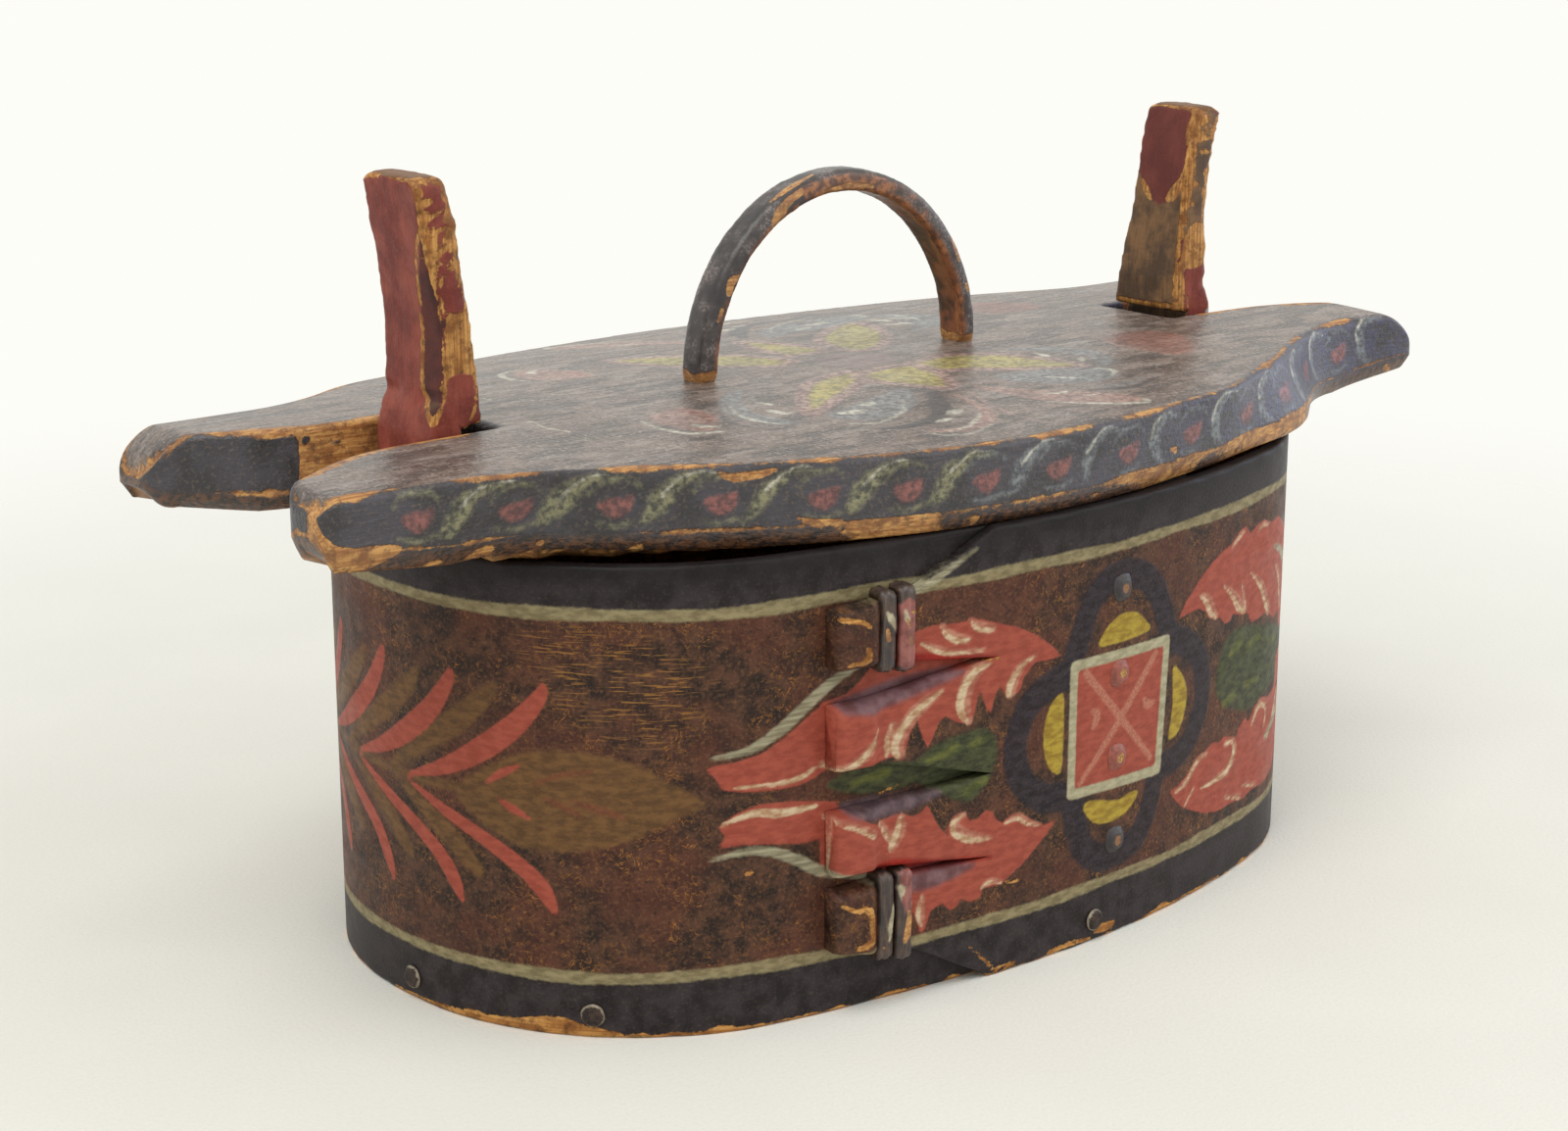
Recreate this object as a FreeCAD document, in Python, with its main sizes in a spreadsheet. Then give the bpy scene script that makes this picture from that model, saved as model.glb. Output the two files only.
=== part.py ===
"""Norwegian tine: a bentwood box with a lid that snaps between two upright posts.

The band (sveip) is one thin strip bent into an oval.  Its outer end laps over its inner end at the
front, where it ends in four carved tongues.  Root lashings and wooden pegs hold the lap, nails hold
the base board, and two posts stand in the base board, pass through the lid's slots and hook over it.

Frame: millimetres, +X along the long axis to the right, +Y to the back, +Z up, origin under the
middle of the box on the surface it stands on.
"""
import FreeCAD, Part
import Sketcher
import math
import os
import re

from FreeCAD import Vector

DOC = FreeCAD.newDocument("tine")

# ---------------------------------------------------------------- driving dimensions
SIZES = {
    # bentwood band
    "band_half_length": 120.0,
    "band_half_width": 75.2,
    "band_end_flatness": 16.2,
    "band_end_angle": 5.7,
    "band_corner_drop": 11.7,
    "band_height": 98.2,
    "band_wall": 3.0,
    "lap_gap": 0.2,
    "lap_inner_reach": 45.0,
    # the four tongues at the end of the lap, the highest first
    "tongue_reach": 60.0,
    "tongue_root": 20.0,
    "tongue_head_length": 9.4,
    "tongue_head_proud": 2.4,
    "tongue_shoulder": 0.4,
    "tongue_1_low": 74.5,
    "tongue_1_high": 86.5,
    "tongue_2_low": 53.5,
    "tongue_2_high": 66.5,
    "tongue_3_low": 31.0,
    "tongue_3_high": 44.0,
    "tongue_4_low": 14.5,
    "tongue_4_high": 27.5,
    "notch_1_root": 70.7,
    "notch_2_root": 45.5,
    "notch_3_root": 27.1,
    "lap_corner_rise": 1.8,
    "lap_corner_drop": 3.5,
    # base board
    "base_thickness": 9.2,
    "base_clearance": 0.3,
    "base_step_clearance": 0.5,
    # nails, by their distance from the middle of the nearest end or from the middle of the side
    "nail_shank_radius": 0.9,
    "nail_shank_length": 9.5,
    "nail_head_radius": 2.5,
    "nail_head_thickness": 1.0,
    "nail_head_seat": 0.1,
    "nail_height": 5.0,
    "nail_end_near": 6.3,
    "nail_end_far": 50.3,
    "nail_front_middle": 10.5,
    "nail_right_front": 39.8,
    "nail_right_back": 14.8,
    "nail_back_pitch": 80.0,
    "drill_clearance": 0.05,
    # lap pegs
    "peg_radius": 2.0,
    "peg_head_proud": 1.2,
    "peg_tail_proud": 0.6,
    "peg_arc": 17.5,
    "peg_lowest": 22.0,
    "peg_spacing": 19.0,
    # root lashings
    "root_width": 4.0,
    "root_thickness": 1.3,
    "root_slack": 0.15,
    "root_play": 0.25,
    "root_heel_gap": 0.7,
    "root_turn_gap": 0.7,
    # lid
    "lid_side_inset": 0.7,
    "horn_overhang": 37.0,
    "lid_thickness": 17.0,
    "lid_seat_gap": 0.3,
    "lid_crown_radius": 660.0,
    "lid_chamfer_height": 4.2,
    "lid_chamfer_depth": 1.6,
    "horn_length": 31.0,
    "horn_half_width": 40.8,
    "horn_tip_inner": 27.0,
    "horn_outer_round": 3.0,
    "horn_inner_round": 7.0,
    "horn_rise_length": 29.0,
    "horn_rise": 3.2,
    "neck_radius": 45.0,
    "slot_end_clearance": 4.0,
    "slot_side_clearance": 1.4,
    "slot_end_round": 1.0,
    "slot_flare_length": 23.0,
    "slot_flare_widening": 1.4,
    "slot_flare_radius": 45.0,
    # posts, across from the outer face of the foot and up from the top of the lid
    "post_wall_gap": 3.0,
    "post_half_width": 10.0,
    "post_hook_depth": 11.0,
    "post_neck_depth": 7.8,
    "post_waist_inset": 3.0,
    "post_crest_outset": 1.2,
    "post_crest_thickness": 4.8,
    "post_rise": 49.9,
    "post_waist_rise": 19.4,
    "post_shoulder_drop": 1.6,
    "post_lip_drop": 4.0,
    "post_lip_slope": 4.0,
    "hook_clearance": 2.2,
    "post_bevel_wide": 7.5,
    "post_bevel_narrow": 2.0,
    "post_bevel_rise": 7.4,
    "tenon_half_width": 7.0,
    "tenon_thickness": 5.5,
    "tenon_inset": 5.0,
    "tenon_seat_gap": 0.3,
    "mortise_clearance": 0.5,
    # carrying handle
    "handle_half_span": 38.5,
    "handle_thickness": 4.8,
    "handle_width": 7.0,
    "handle_rise": 40.4,
    "handle_outer_round": 1.8,
    "handle_inner_round": 0.7,
    "handle_shoulder": 0.6,
    "handle_seat_gap": 0.05,
    "handle_fit": 0.1,
    "handle_foot_proud": 0.8,
    "wedge_length": 9.0,
    "wedge_thick": 1.4,
    "wedge_thin": 0.5,
}

# What follows from the driving dimensions; $word stands for a size of either table.
DERIVED = {
    "band_end_radius": "$band_half_width + $band_end_flatness",
    "band_corner_radius": "$band_half_width - $band_corner_drop",
    "band_inner_half_width": "$band_half_width - $band_wall",
    "lap_half_width": "$band_half_width - $band_wall - $lap_gap",
    "tongue_heel": "$tongue_reach - $tongue_head_length",
    "root_first_arc": "$tongue_heel - $root_width / 2 - $root_heel_gap",
    "root_pitch": "$root_width + $root_turn_gap",
    "lid_half_length": "$band_half_length + $horn_overhang",
    "lid_half_width": "$band_half_width - $lid_side_inset",
    "lid_under_radius": "$lid_crown_radius - $lid_thickness",
    "lid_top": "$band_height + $lid_seat_gap + $lid_crown_radius"
               " - sqrt($lid_under_radius^2 - $band_inner_half_width^2)",
    "lid_underside": "$lid_top - $lid_thickness",
    "post_foot": "$band_half_length - $band_wall - $post_wall_gap",
    "post_hook": "$post_foot - $post_hook_depth",
    "post_top": "$lid_top + $post_rise",
    "tenon_outer": "$post_foot - $tenon_inset",
    "tenon_inner": "$tenon_outer - $tenon_thickness",
    "slot_end": "$post_hook - $slot_end_clearance",
    "slot_half_width": "$post_half_width + $slot_side_clearance",
    "handle_foot": "$lid_underside - $handle_foot_proud",
}

SHEET = DOC.addObject("Spreadsheet::Sheet", "Sizes")
for row, (alias, number) in enumerate(SIZES.items(), start=1):
    SHEET.set(f"A{row}", alias)
    SHEET.set(f"B{row}", str(number))
    SHEET.setAlias(f"B{row}", alias)
DOC.recompute()


def expanded(expression):
    """The expression with each $word spelled out as cells of the sheet."""
    def spelled(match):
        word = match.group(1)
        return f"({expanded(DERIVED[word])})" if word in DERIVED else f"Sizes.{word}"
    return re.sub(r"\$(\w+)", spelled, expression)


def size(word):
    """The number behind a word of either table."""
    return float(SHEET.evalExpression(expanded(f"${word}")))


def bind(item, name, expression):
    """Tie a property of an object to the sheet."""
    item.setExpression(name, expanded(expression))


# ---------------------------------------------------------------- the band's oval
def oval_arcs(half_width):
    """Centre, radius, start and stop angle of the end, corner and side arc of one quarter."""
    half_length = size("band_half_length")
    end, corner = size("band_end_radius"), size("band_corner_radius")
    first = math.radians(size("band_end_angle"))
    corner_x = half_length - end + (end - corner) * math.cos(first)
    corner_y = (end - corner) * math.sin(first)
    rise = half_width - corner_y
    side = (corner_x ** 2 + rise ** 2 - corner ** 2) / (2 * (rise - corner))
    second = math.acos(corner_x / (side - corner))
    return [(half_length - end, 0.0, end, 0.0, first),
            (corner_x, corner_y, corner, first, second),
            (0.0, half_width - side, side, second, math.pi / 2)]


def arc(centre_x, centre_y, radius, start, stop, side_x=1, side_y=1):
    """An arc in the XY plane, mirrored into the quadrant that the two signs name."""
    def point(angle):
        return Vector(side_x * (centre_x + radius * math.cos(angle)),
                      side_y * (centre_y + radius * math.sin(angle)), 0)
    return Part.Arc(point(start), point((start + stop) / 2), point(stop)).toShape()


def quarter(half_width, inset, side_x, side_y):
    """The three arcs of one quarter of the oval, offset inwards by inset."""
    return [arc(x, y, radius - inset, first, last, side_x, side_y)
            for x, y, radius, first, last in oval_arcs(half_width)]


def side_arc(half_width, inset, reach, side_x):
    """The front side arc from the middle to the given distance along it."""
    x, y, radius, _, middle = oval_arcs(half_width)[2]
    return arc(x, y, radius - inset, middle - reach / radius, middle, side_x, -1)


def face_of(edges):
    """A face inside edges given in any order."""
    return Part.Face(Part.Wire(Part.__sortEdges__(edges)))


def line(start, stop):
    return Part.makeLine(start, stop)


def end_point(edge, want_far):
    """The end of an edge that is farther from, or nearer to, the middle of the front."""
    ends = sorted((v.Point for v in edge.Vertexes), key=lambda p: abs(p.x))
    return ends[-1] if want_far else ends[0]


WALL = size("band_wall")
GAP = size("lap_gap")
FULL = size("band_half_width")
LAPPED = size("lap_half_width")


def on_front(distance, outward=0.0):
    """Point and outward direction on the band's front, at a distance right of the middle."""
    half_width, side = (FULL, 1) if distance >= 0 else (LAPPED, -1)
    return on_oval(half_width, abs(distance), outward, side, -1)


def on_back(distance):
    """The same on the band's back."""
    return on_oval(FULL, abs(distance), 0.0, 1 if distance >= 0 else -1, 1)


def from_end(distance, side_x, side_y):
    """The same at a distance from the middle of the left or right end, towards front or back."""
    half_width = LAPPED if (side_x, side_y) == (-1, -1) else FULL
    length = sum(radius * (last - first) for _, _, radius, first, last in oval_arcs(half_width))
    return on_oval(half_width, length - distance, 0.0, side_x, side_y)


def on_oval(half_width, distance, outward, side_x, side_y):
    """Point and outward direction at a distance along the oval from the middle of a long side."""
    for x, y, radius, first, last in reversed(oval_arcs(half_width)):
        angle = last - distance / radius
        if angle >= first:
            break
        distance -= radius * (last - first)
    direction = Vector(side_x * math.cos(angle), side_y * math.sin(angle), 0)
    return Vector(side_x * x, side_y * y, 0) + direction * (radius + outward), direction


# ---------------------------------------------------------------- small building helpers
SIDES = (("left", -1), ("right", 1))


def feature(name, shape):
    """A plain feature that carries a shape made by Part's own functions."""
    item = DOC.addObject("Part::Feature", name)
    item.Shape = shape
    return item


def cut(name, base, tool):
    item = DOC.addObject("Part::Cut", name)
    item.Base, item.Tool = base, tool
    return item


def placed(point, direction):
    """Placement that turns +Z to the direction and moves the origin to the point."""
    return FreeCAD.Placement(point, FreeCAD.Rotation(Vector(0, 0, 1), direction))


def origin_plane(body, role):
    return next(f for f in body.Origin.OriginFeatures if f.Role == role)


def new_sketch(body, role, name):
    sketch = body.newObject("Sketcher::SketchObject", name)
    sketch.AttachmentSupport = [(origin_plane(body, role), "")]
    sketch.MapMode = "FlatFace"
    return sketch


def draw_closed(sketch, curves):
    """Put a closed run of curves into a sketch and join each to the next."""
    sketch.addGeometry(curves, False)
    for number in range(len(curves)):
        following = (number + 1) % len(curves)
        here, there = min(((a, b) for a in (1, 2) for b in (1, 2)), key=lambda pair: (
            sketch.getPoint(number, pair[0]) - sketch.getPoint(following, pair[1])).Length)
        sketch.addConstraint(Sketcher.Constraint("Coincident", number, here, following, there))


def as_curves(edges):
    """Sketch curves for straight and circular edges."""
    curves = []
    for edge in edges:
        first, last = edge.FirstParameter, edge.LastParameter
        ends = edge.valueAt(first), edge.valueAt(last)
        if edge.Curve.TypeId == "Part::GeomLine":
            curves.append(Part.LineSegment(*ends))
        else:
            curves.append(Part.Arc(ends[0], edge.valueAt((first + last) / 2), ends[1]))
    return curves


def polygon(points):
    """Straight sketch lines through the points and back to the first."""
    corners = [Vector(x, y, 0) for x, y in points]
    return [Part.LineSegment(a, b) for a, b in zip(corners, corners[1:] + corners[:1])]


def new_pad(body, sketch, name, length, midplane=False):
    pad = body.newObject("PartDesign::Pad", name)
    pad.Profile = sketch
    bind(pad, "Length", length)
    pad.Midplane = midplane
    return pad


def prism(points, y_from, y_to):
    """A block with the given outline in the XZ plane, from y_from to y_to."""
    corners = [Vector(x, y_from, z) for x, z in points]
    outline = Part.makePolygon(corners + corners[:1])
    return Part.Face(outline).extrude(Vector(0, y_to - y_from, 0))


# ---------------------------------------------------------------- band
def band_strip():
    """The whole strip as one spiral: inner end, front left, back, right, lap."""
    reach = size("lap_inner_reach")
    rounds = ((FULL, 1, -1), (FULL, 1, 1), (FULL, -1, 1), (LAPPED, -1, -1))
    outside = [edge for half_width, x, y in rounds for edge in quarter(half_width, 0, x, y)]
    inside = [edge for half_width, x, y in rounds for edge in quarter(half_width, WALL, x, y)]
    under = [side_arc(FULL, WALL + GAP, reach, 1), side_arc(FULL, 2 * WALL + GAP, reach, 1)]
    lap = [side_arc(LAPPED, -GAP - WALL, size("tongue_reach"), -1),
           side_arc(LAPPED, -GAP, size("tongue_reach"), -1)]
    ends = [line(end_point(a, True), end_point(b, True)) for a, b in (under, lap)]
    return face_of(outside + inside + under + lap + ends).extrude(Vector(0, 0, size("band_height")))


def front_block(near, far, low, high):
    """A block on the left of the front between two distances from the inner layer's face."""
    reach = size("tongue_reach")
    faces = [side_arc(LAPPED, -near, reach, -1), side_arc(LAPPED, -far, reach, -1)]
    sides = [line(end_point(faces[0], want), end_point(faces[1], want)) for want in (True, False)]
    solid = face_of(faces + sides).extrude(Vector(0, 0, high - low))
    solid.translate(Vector(0, 0, low))
    return solid


def tongue_span(number):
    return size(f"tongue_{number}_low"), size(f"tongue_{number}_high")


def lower_edge(number):
    """Lower edge of a tongue in X and Z, from its root to its tip."""
    root, heel, tip = (-size(f"tongue_{word}") for word in ("root", "heel", "reach"))
    low = tongue_span(number)[0]
    if number == 4:
        shoulder = low - size("lap_corner_drop")
        return [(root, 0.0), (2 * root, shoulder), (heel, shoulder + size("lap_corner_rise")), (tip, low)]
    return [(root, size(f"notch_{number}_root")), (heel, low), (tip, low)]


def upper_edge(number):
    """Upper edge of a tongue in X and Z, from its root to its tip."""
    root, heel, tip = (-size(f"tongue_{word}") for word in ("root", "heel", "reach"))
    high = tongue_span(number)[1]
    if number == 1:
        return [(root, size("band_height")), (2 * root, high + size("lap_corner_rise")), (tip, high)]
    return [(root, size(f"notch_{number - 1}_root")), (heel, high + size("tongue_shoulder")), (tip, high)]


def height_at(edge, x):
    """Height of an edge at a place along X."""
    for (x_near, z_near), (x_far, z_far) in zip(edge, edge[1:]):
        if x_far <= x <= x_near:
            return z_near + (z_far - z_near) * (x - x_near) / (x_far - x_near)
    return edge[-1][1]


def tongue_gaps():
    """Outlines, in X and Z, of what is carved away above, between and below the tongues."""
    margin = 5.0
    past = -size("tongue_reach") - margin
    top, bottom = size("band_height") + margin, -margin
    above, below = upper_edge(1), lower_edge(4)
    gaps = [above + [(past, above[-1][1]), (past, top), (above[0][0], top)],
            below + [(past, below[-1][1]), (past, bottom), (below[0][0], bottom)]]
    for number in (1, 2, 3):
        over, under = lower_edge(number), upper_edge(number + 1)
        gaps.append(over + [(past, over[-1][1]), (past, under[-1][1])] + under[:0:-1])
    return gaps


def tongue_head(low, high):
    """The thick head at the end of one tongue."""
    near, far = -size("tongue_heel"), -size("tongue_reach") * 2
    block = front_block(GAP + WALL / 2, GAP + WALL + size("tongue_head_proud"), low, high)
    return block.common(prism([(far, low), (near, low), (near, high), (far, high)], -2 * FULL, 0))


def root_turns(number):
    """Where the turns of root over one tongue run: place, bottom and top of the hollow."""
    half, play = size("root_width") / 2, size("root_play")
    for turn in range(2):
        place = size("root_first_arc") - turn * size("root_pitch")
        across = (-place - half, -place + half)
        yield (place, min(height_at(lower_edge(number), x) for x in across) - play,
               max(height_at(upper_edge(number), x) for x in across) + play)


def root_frame(place):
    """Placement at the front left: local X along the band, local Y inwards, on the lap's face."""
    point, direction = on_front(-place, GAP + WALL)
    heading = math.degrees(math.atan2(direction.y, direction.x)) + 90
    return FreeCAD.Placement(point, FreeCAD.Rotation(Vector(0, 0, 1), heading))


def root_loop(place, low, high):
    """One closed turn of root round the tongue and the inner layer."""
    width, thick, slack = size("root_width"), size("root_thickness"), size("root_slack")
    depth = 2 * WALL + GAP
    outer = Part.makeBox(width, depth + 2 * (slack + thick), high - low + 2 * thick,
                         Vector(-width / 2, -slack - thick, low - thick))
    hollow = Part.makeBox(width, depth + 2 * slack, high - low, Vector(-width / 2, -slack, low))
    corners = [e for e in outer.Edges if abs(e.BoundBox.XLength - width) < 0.01]
    loop = outer.makeFillet(0.8 * thick, corners).cut(hollow)
    loop.Placement = root_frame(place)
    return loop


def root_slits(place, low, high):
    """The two slits in the inner layer that a turn of root passes through."""
    width, thick, slack = size("root_width"), size("root_thickness"), size("root_slack")
    slits = []
    for bottom in (low - thick - slack, high - slack):
        slit = Part.makeBox(width + 2 * slack, 3 * WALL, thick + 2 * slack,
                            Vector(-width / 2 - slack, WALL + GAP / 2, bottom))
        slit.Placement = root_frame(place)
        slits.append(slit)
    return slits


def radial_hole(spot, height, radius, depth, start):
    """A round hole through the band's face, from a start outside it inwards."""
    point, direction = spot
    return Part.makeCylinder(radius + size("drill_clearance"), depth + start,
                             point + Vector(0, 0, height) + direction * start, direction * -1)


# ---------------------------------------------------------------- fasteners' places
def nail_spots():
    """Places of the eight nails in the band's lower border, as point and outward direction."""
    pitch = size("nail_back_pitch")
    front = [from_end(size("nail_end_near"), -1, -1), from_end(size("nail_end_far"), -1, -1),
             on_front(size("nail_front_middle"))]
    right = [from_end(size("nail_right_front"), 1, -1), from_end(size("nail_right_back"), 1, 1)]
    return front + right + [on_back(turn * pitch) for turn in (1, 0, -1)]


def peg_heights():
    return [size("peg_lowest") + number * size("peg_spacing") for number in range(4)]


def make_band():
    strip, zone = band_strip(), front_block(GAP / 2, 2 * WALL, -1, size("band_height") + 1)
    for outline in tongue_gaps():
        strip = strip.cut(prism(outline, -2 * FULL, 0).common(zone))
    strip = strip.fuse([tongue_head(*tongue_span(number)) for number in (1, 2, 3, 4)])
    through = 3 * WALL
    holes = [radial_hole(spot, size("nail_height"), size("nail_shank_radius"), through, WALL)
             for spot in nail_spots()]
    holes += [radial_hole(on_front(size("peg_arc")), height, size("peg_radius"), through, WALL)
              for height in peg_heights()]
    for number in (1, 4):
        for turn in root_turns(number):
            holes += root_slits(*turn)
    band = cut("band_cut", feature("band_blank", strip), feature("band_holes", Part.makeCompound(holes)))
    band.Label = "band"
    return band


# ---------------------------------------------------------------- base board
def base_outline():
    """The board's edge, a clearance inside the band, stepped in beside the band's inner end."""
    inset, reach = WALL + size("base_clearance"), size("lap_inner_reach") + size("base_step_clearance")
    front_left, back_left, back_right = (quarter(half_width, inset, x, y) for half_width, x, y in (
        (LAPPED, -1, -1), (FULL, -1, 1), (FULL, 1, 1)))
    x, y, radius, first, last = oval_arcs(FULL)[2]
    turn = last - reach / radius
    near = arc(x, y, radius - inset - WALL - GAP, turn, last, 1, -1)
    rest = arc(x, y, radius - inset, first, turn, 1, -1)
    step = line(end_point(rest, False), end_point(near, True))
    front_right = quarter(FULL, inset, 1, -1)[:2] + [rest, step, near]
    return front_left[::-1] + back_left + back_right[::-1] + front_right


def make_base():
    body = DOC.addObject("PartDesign::Body", "base_body")
    sketch = new_sketch(body, "XY_Plane", "base_outline")
    draw_closed(sketch, as_curves(base_outline()))
    new_pad(body, sketch, "base_board_pad", "$base_thickness")
    mortises = new_sketch(body, "XY_Plane", "mortise_outline")
    clear = size("mortise_clearance")
    half = size("tenon_half_width") + clear
    for side in (1, -1):
        near, far = side * (size("tenon_inner") - clear), side * (size("tenon_outer") + clear)
        mortises.addGeometry(polygon([(near, -half), (far, -half), (far, half), (near, half)]), False)
    pocket = body.newObject("PartDesign::Pocket", "mortises")
    pocket.Profile = mortises
    pocket.Type = "ThroughAll"
    pocket.Reversed = True
    DOC.recompute()
    depth = size("nail_shank_length") + size("base_clearance")
    holes = [radial_hole(spot, size("nail_height"), size("nail_shank_radius"), depth, 0)
             for spot in nail_spots()]
    base = cut("base_cut", body, feature("base_holes", Part.makeCompound(holes)))
    base.Label = "base_board"
    return base


# ---------------------------------------------------------------- fasteners
def make_nail(number, spot):
    """A nail with a round, slightly tapered head, seated a little off the band's face."""
    point, direction = spot
    shank = DOC.addObject("Part::Cylinder", f"nail_shank_{number}")
    bind(shank, "Radius", "$nail_shank_radius")
    bind(shank, "Height", "$nail_shank_length + 2 * $nail_head_seat")
    bind(shank, ".Placement.Base.z", "-$nail_shank_length")
    head = DOC.addObject("Part::Cone", f"nail_head_{number}")
    bind(head, "Radius1", "$nail_head_radius")
    bind(head, "Radius2", "$nail_head_radius * 0.8")
    bind(head, "Height", "$nail_head_thickness")
    bind(head, ".Placement.Base.z", "$nail_head_seat")
    nail = DOC.addObject("Part::Fuse", f"nail_{number}")
    nail.Base, nail.Tool = shank, head
    nail.Placement = placed(point + Vector(0, 0, size("nail_height")), direction)
    nail.Label = f"base_nail_{number}"
    return nail


def make_peg(number, height):
    """A wooden peg through both layers of the lap, its head a low cone."""
    point, direction = on_front(size("peg_arc"))
    stem = DOC.addObject("Part::Cylinder", f"peg_stem_{number}")
    bind(stem, "Radius", "$peg_radius")
    bind(stem, "Height", "2 * $band_wall + $lap_gap + $peg_tail_proud")
    bind(stem, ".Placement.Base.z", "-2 * $band_wall - $lap_gap - $peg_tail_proud")
    head = DOC.addObject("Part::Cone", f"peg_head_{number}")
    bind(head, "Radius1", "$peg_radius")
    bind(head, "Radius2", "$peg_radius * 0.7")
    bind(head, "Height", "$peg_head_proud")
    peg = DOC.addObject("Part::Fuse", f"peg_{number}")
    peg.Base, peg.Tool = stem, head
    peg.Placement = placed(point + Vector(0, 0, height), direction)
    peg.Label = f"lap_peg_{number}"
    return peg


def make_lashing(name, number):
    lashing = feature(name, Part.makeCompound([root_loop(*turn) for turn in root_turns(number)]))
    lashing.Label = name
    return lashing


# ---------------------------------------------------------------- posts
def outer_face():
    """Three points of the arc of a post's outer face above the lid: shoulder, waist and crest."""
    foot, lid_top = size("post_foot"), size("lid_top")
    return [(foot, lid_top - size("post_shoulder_drop")),
            (foot - size("post_waist_inset"), lid_top + size("post_waist_rise")),
            (foot + size("post_crest_outset"), size("post_top"))]


def post_profile():
    """Outline of the right-hand post in the XZ plane, from the tenon's foot round and back."""
    foot_z, tenon_z = size("base_thickness") + size("tenon_seat_gap"), size("tenon_seat_gap")
    outer, hook = size("post_foot"), size("post_hook")
    neck, hook_z = outer - size("post_neck_depth"), size("lid_top") + size("hook_clearance")
    lip_z = size("lid_underside") - size("post_lip_drop")
    shoulder, waist, crest = outer_face()
    up = [(size("tenon_inner"), tenon_z), (size("tenon_outer"), tenon_z),
          (size("tenon_outer"), foot_z), (outer, foot_z), shoulder]
    down = [crest, (crest[0] - size("post_crest_thickness"), crest[1]), (hook, hook_z), (neck, hook_z),
            (neck, lip_z), (hook, lip_z - size("post_lip_slope")), (hook, foot_z),
            (size("tenon_inner"), foot_z), up[0]]
    curves = [Part.Arc(*[Vector(x, z, 0) for x, z in (shoulder, waist, crest)])]
    for run, place in ((up, 0), (down, len(up))):
        segments = [Part.LineSegment(Vector(*a, 0), Vector(*b, 0)) for a, b in zip(run, run[1:])]
        curves[place:place] = segments
    return curves


def bevel_tools():
    """What is shaved off the outer corners above a slanting stop: the face's arc sheared across."""
    points = [Vector(x, 0, z) for x, z in outer_face()]
    shoulder, waist, crest = points
    top, stop = size("post_top") + 5, size("lid_top") + size("post_bevel_rise")
    beyond = size("post_foot") + 20
    outline = [Part.Arc(*points).toShape(), line(crest, Vector(crest.x, 0, top)),
               line(Vector(crest.x, 0, top), Vector(beyond, 0, top)),
               line(Vector(beyond, 0, top), Vector(beyond, 0, shoulder.z)),
               line(Vector(beyond, 0, shoulder.z), shoulder)]
    width, slant = size("post_half_width"), 2 * (beyond - waist.x)
    keep = prism([(waist.x - width, stop), (waist.x, stop), (beyond, stop - slant), (beyond, top),
                  (waist.x - width, top)], -2 * width, 2 * width)
    wide, narrow = size("post_bevel_wide"), size("post_bevel_narrow")
    tools = []
    for side in (1, -1):
        shave = face_of(outline).extrude(Vector(-2 * narrow, side * 2 * wide, 0))
        shave.translate(Vector(0, side * (width - wide), 0))
        tools.append(shave.common(keep))
    return Part.makeCompound(tools)


def make_post(name, side):
    """A post: profile padded across the box, tenon cheeks cut back, outer corners shaved."""
    body = DOC.addObject("PartDesign::Body", f"{name}_body")
    sketch = new_sketch(body, "XZ_Plane", f"{name}_profile")
    draw_closed(sketch, post_profile())
    new_pad(body, sketch, f"{name}_pad", "2 * $post_half_width", midplane=True)
    cheeks = new_sketch(body, "XY_Plane", f"{name}_cheeks")
    near, far = size("tenon_inner") - 2, size("tenon_outer") + 2
    half, wide = size("tenon_half_width"), size("post_half_width") + 2
    for sign in (1, -1):
        cheeks.addGeometry(polygon([(near, sign * half), (far, sign * half),
                                    (far, sign * wide), (near, sign * wide)]), False)
    pocket = body.newObject("PartDesign::Pocket", f"{name}_shoulders")
    pocket.Profile = cheeks
    bind(pocket, "Length", "$base_thickness + $tenon_seat_gap")
    pocket.Reversed = True
    post = cut(f"{name}_cut", body, feature(f"{name}_bevels", bevel_tools()))
    if side < 0:
        post.Placement = FreeCAD.Placement(Vector(), FreeCAD.Rotation(Vector(0, 0, 1), 180))
    post.Label = name
    return post


# ---------------------------------------------------------------- lid
def rounded(points, radii):
    """Straight runs through the points with each corner rounded to its radius (0 keeps it sharp)."""
    corners = [Vector(x, y, 0) for x, y in points]
    curves, here = [], corners[0]
    for number in range(1, len(corners) - 1):
        corner, radius = corners[number], radii[number]
        back = (corners[number - 1] - corner).normalize()
        ahead = (corners[number + 1] - corner).normalize()
        if radius <= 0:
            curves.append(line(here, corner))
            here = corner
            continue
        half_turn = back.getAngle(ahead) / 2
        reach = radius / math.tan(half_turn)
        start, stop = corner + back * reach, corner + ahead * reach
        bisector = (back + ahead).normalize()
        middle = corner + bisector * (radius / math.sin(half_turn) - radius)
        curves.append(line(here, start))
        curves.append(Part.Arc(start, middle, stop).toShape())
        here = stop
    curves.append(line(here, corners[-1]))
    return curves


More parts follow.
